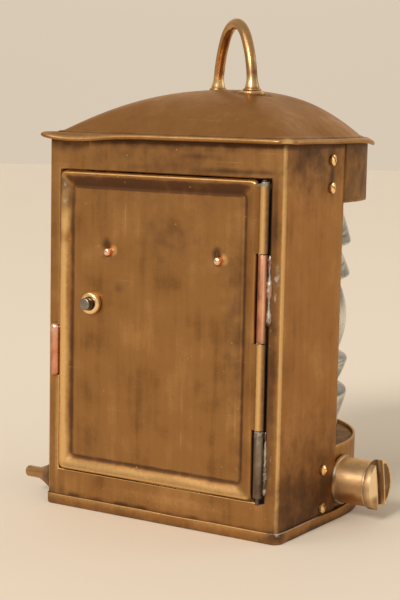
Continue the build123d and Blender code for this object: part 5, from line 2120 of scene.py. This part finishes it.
@dataclass
class CandleSet(Part):
    """The candle with its wick, the slit socket and the drip pan."""

    shoulder: float = 1.6
    foot: float = 0.4
    drips: Swell = Swell(1.0, 9.0, 91)
    drip_stretch: float = 0.18
    drip_depth: float = 0.35
    wick: float = 0.72
    wick_twist: float = 0.07
    wick_turns: float = 60.0
    wick_lean: tuple[float, float] = (9.0, -4.0)
    wick_tip: float = 0.6
    pan_sheet: float = 0.6
    rim_roll: float = 0.7

    def wax(self) -> Skin:
        """The candle: a round shoulder, a melted cup and drips down its side.

        Returns:
            The closed skin.
        """
        low, high = node_box("candle")
        radius, height, soft = high[1], high[2] - low[2], self.shoulder
        turn = np.linspace(0, QUARTER, 7)
        body = spread(np.full(30, radius), np.linspace(self.foot, height - 2.2, 30))
        shoulder = spread(radius - soft + soft * np.cos(turn), height - soft + soft * np.sin(turn))
        cup = np.array([(8.4, -0.25), (7.2, -1.1), (5.0, -1.7), (2.5, -1.75),
                        (0.9, -1.5), (0.8, -2.6), (0, -2.6)])
        foot = [(0, 0), (radius - self.foot, 0)]
        skin = lathe(Seat((0, 0, low[2])), chain(foot, body, shoulder, cup + [0, height]), 72)
        above = smooth(skin.points[:, 2], low[2] + 20, high[2])[:, None]
        drip = np.maximum(self.drips.at(skin.points * [1, 1, self.drip_stretch]), -0.2)[:, None]
        skin.points -= above * drip * self.drip_depth * (skin.points * [1, 1, 0]) / radius
        return skin

    def cotton(self) -> Skin:
        """The wick: a twisted rod that leans over at its end.

        Returns:
            The closed skin.
        """
        low, high = (corner[2] for corner in node_box("wick"))
        share = np.linspace(0, 1, 26)
        lean = np.maximum(share - 0.6, 0) ** 2
        height = low + (high - low - self.wick_tip) * share
        path = spread(self.wick_lean[0] * lean, self.wick_lean[1] * lean, height)
        return rod(path, self.wick + self.wick_twist * np.sin(share * self.wick_turns), AHEAD, 14)

    def pan(self) -> Skin:
        """The drip pan: a shallow dish whose edge is rolled over.

        Returns:
            The closed skin.
        """
        low, high = node_box("drip_pan")
        roll, sheet = self.rim_roll, self.pan_sheet
        wall = high[0] - roll * 1.6
        rim = arc((high[0] - roll, high[2] - low[2] - roll), roll, 0, 200, 11)
        profile = chain([(0, 0), (wall - 1.0, 0), (wall + 0.2, 0.9), (wall + 0.5, 2.2)], rim,
                        [(wall, 1.4), (wall - 1.2, sheet), (0, sheet)])
        skin = lathe(Seat((0, 0, low[2])), profile, 88)
        return skin.rub(0.6 * smooth(skin.points[:, 2], high[2] - 0.8, high[2]))

    def build(self) -> None:
        """Make the candle, the wick and the pan, and dress the socket."""
        self.shop.piece("wax_candle", self.wax(), WAX, "candle", Body.CANDLE)
        self.shop.piece("cotton_wick", self.cotton(), CHARRED, "wick", Body.CANDLE)
        self.shop.piece("rolled_drip_pan", self.pan(), AGED_BRASS, "drip_pan")
        self.shop.dress(BRIGHT_BRASS, "candle_socket")


# The studio


def aim(thing: bpy.types.Object, place: Place, *axes: Array) -> None:
    """Put a lamp or the camera in its place and turn it.

    Args:
        thing: the lamp or the camera.
        place: where it stands, in metres.
        axes: where its right side, its upper side and its back look.
    """
    matrix = np.eye(4)
    matrix[:3, :3] = np.stack(axes, -1)
    matrix[:3, 3] = place
    thing.matrix_world = Matrix(matrix.tolist())


@dataclass(frozen=True)
class Lamp:
    """A soft light that shines on the lantern. A far one lights the whole floor evenly."""

    name: str
    place: Place
    size: float
    power: float
    far: bool = False
    colour: Colour = (1.0, 0.95, 0.88)
    target: Place = (0, 0, 0.08)

    def hang(self) -> None:
        """Put the lamp in its place, turned to the lantern."""
        data = bpy.data.lights.new(self.name, "SUN" if self.far else "AREA")
        data.energy, data.color = self.power, self.colour
        if self.far:
            data.angle = self.size / np.linalg.norm(self.place)
        else:
            data.size = self.size
        back = np.array(self.place) - self.target
        back /= np.linalg.norm(back)
        side = np.cross(UP, back)
        side /= np.linalg.norm(side)
        aim(Shop.put(self.name, data), self.place, side, np.cross(back, side), back)


@dataclass
class Studio:
    """A pale floor, soft light and the camera."""

    floor_rings: tuple[float, ...] = (0.0, 0.2, 0.6, 1.5, 3.0)
    floor_level: float = -0.02
    floor_colour: Colour = (0.72, 0.64, 0.54)
    floor_swing: float = 1.04
    floor_roughness: float = 0.75
    sky_colour: Colour = (0.89, 0.81, 0.69)
    horizon_colour: Colour = (0.72, 0.61, 0.48)
    sky_rise: float = 0.42
    sky_side: float = 0.64
    sky_swing: float = 0.32
    lamps: tuple[Lamp, ...] = (
        Lamp("key", (-0.55, -0.85, 0.95), 0.6, 2.5), Lamp("front", (0.02, -1.05, 0.80), 0.42, 2.1, far=True),
        Lamp("side", (0.85, 0.75, 0.40), 0.6, 1.6))
    camera_place: Place = (0.306618, -0.506983, 0.152635)
    yaw: float = 32.278
    pitch: float = 7.321
    roll: float = 1.116
    focal_pixels: float = 1561.119
    image_height: float = 600.0
    sensor: float = 36.0
    clip: tuple[float, float] = (0.01, 20.0)

    def floor(self) -> None:
        """A wide round floor, flat and pale."""
        turn = np.linspace(0, FULL_TURN, 65)[None, :-1]
        radius = np.array(self.floor_rings)[:, None] / MM
        points = spread(radius * np.cos(turn), radius * np.sin(turn), self.floor_level)
        mesh = Shop.mesh("floor", Skin.grid(points, loop=True).facing((0, 0, -9)), 30.0, closed=False)
        material, sheet, shader, where = Palette.start("pale_floor")
        paler = tuple(value * self.floor_swing for value in self.floor_colour)
        colour = sheet.mix(sheet.noise(where, 3.0, 3.0), self.floor_colour, paler)
        sheet.wire(shader, {"Base Color": colour, "Roughness": self.floor_roughness})
        mesh.materials.append(material)
        Shop.put("floor", mesh)

    def world(self) -> None:
        """A pale sky, warmer at the horizon, and brighter before and behind the camera than at its sides."""
        world = bpy.data.worlds.new("studio")
        bpy.context.scene.world = world
        world.use_nodes = True
        world.node_tree.nodes.clear()
        sheet = NodeSheet(world.node_tree)
        yaw = math.radians(self.yaw)
        line = (math.sin(yaw), -math.cos(yaw), 0.0)
        way = sheet.add("ShaderNodeTexCoord").outputs["Generated"]
        product = sheet.add("ShaderNodeVectorMath", {0: way, 1: line}, operation="DOT_PRODUCT")
        cosine = product.outputs["Value"]
        strength = sheet.plus(sheet.times(sheet.times(cosine, cosine), self.sky_swing), self.sky_side)
        up = sheet.add("ShaderNodeSeparateXYZ", {0: way}).outputs[2]
        colour = sheet.mix(sheet.span(up, 0.0, self.sky_rise), self.horizon_colour, self.sky_colour)
        light = sheet.add("ShaderNodeBackground", {"Color": colour, "Strength": strength})
        sheet.add("ShaderNodeOutputWorld", {"Surface": light.outputs[0]})

    def camera(self) -> None:
        """The camera at the photograph's place and angle."""
        data = bpy.data.cameras.new("camera")
        data.sensor_width = self.sensor
        data.lens = self.sensor * self.focal_pixels / self.image_height
        data.clip_start, data.clip_end = self.clip
        yaw, pitch, roll = (math.radians(value) for value in (self.yaw, self.pitch, self.roll))
        level = np.array([math.cos(yaw), math.sin(yaw), 0.0])
        forward = np.array([-math.sin(yaw), math.cos(yaw), 0.0])
        ahead = forward * math.cos(pitch) - np.array(UP) * math.sin(pitch)
        upright = np.cross(level, ahead)
        right = math.cos(roll) * level + math.sin(roll) * upright
        up = -math.sin(roll) * level + math.cos(roll) * upright
        camera = Shop.put("camera", data)
        aim(camera, self.camera_place, right, up, -ahead)
        bpy.context.scene.camera = camera

    def build(self) -> None:
        """Set up the floor, the light and the camera."""
        bpy.context.scene.view_settings.view_transform = "Standard"
        self.floor()
        self.world()
        for lamp in self.lamps:
            lamp.hang()
        self.camera()


def main() -> None:
    """Build the lantern part by part, then the studio."""
    logging.basicConfig(level=logging.INFO, format="%(message)s")
    shop = Shop(Palette())
    for part in (Case, Front, Roof, Loop, SideFittings, Door, Hinge, CandleSet):
        part(shop).build()
    Studio().build()


if __name__ == "__main__":
    main()
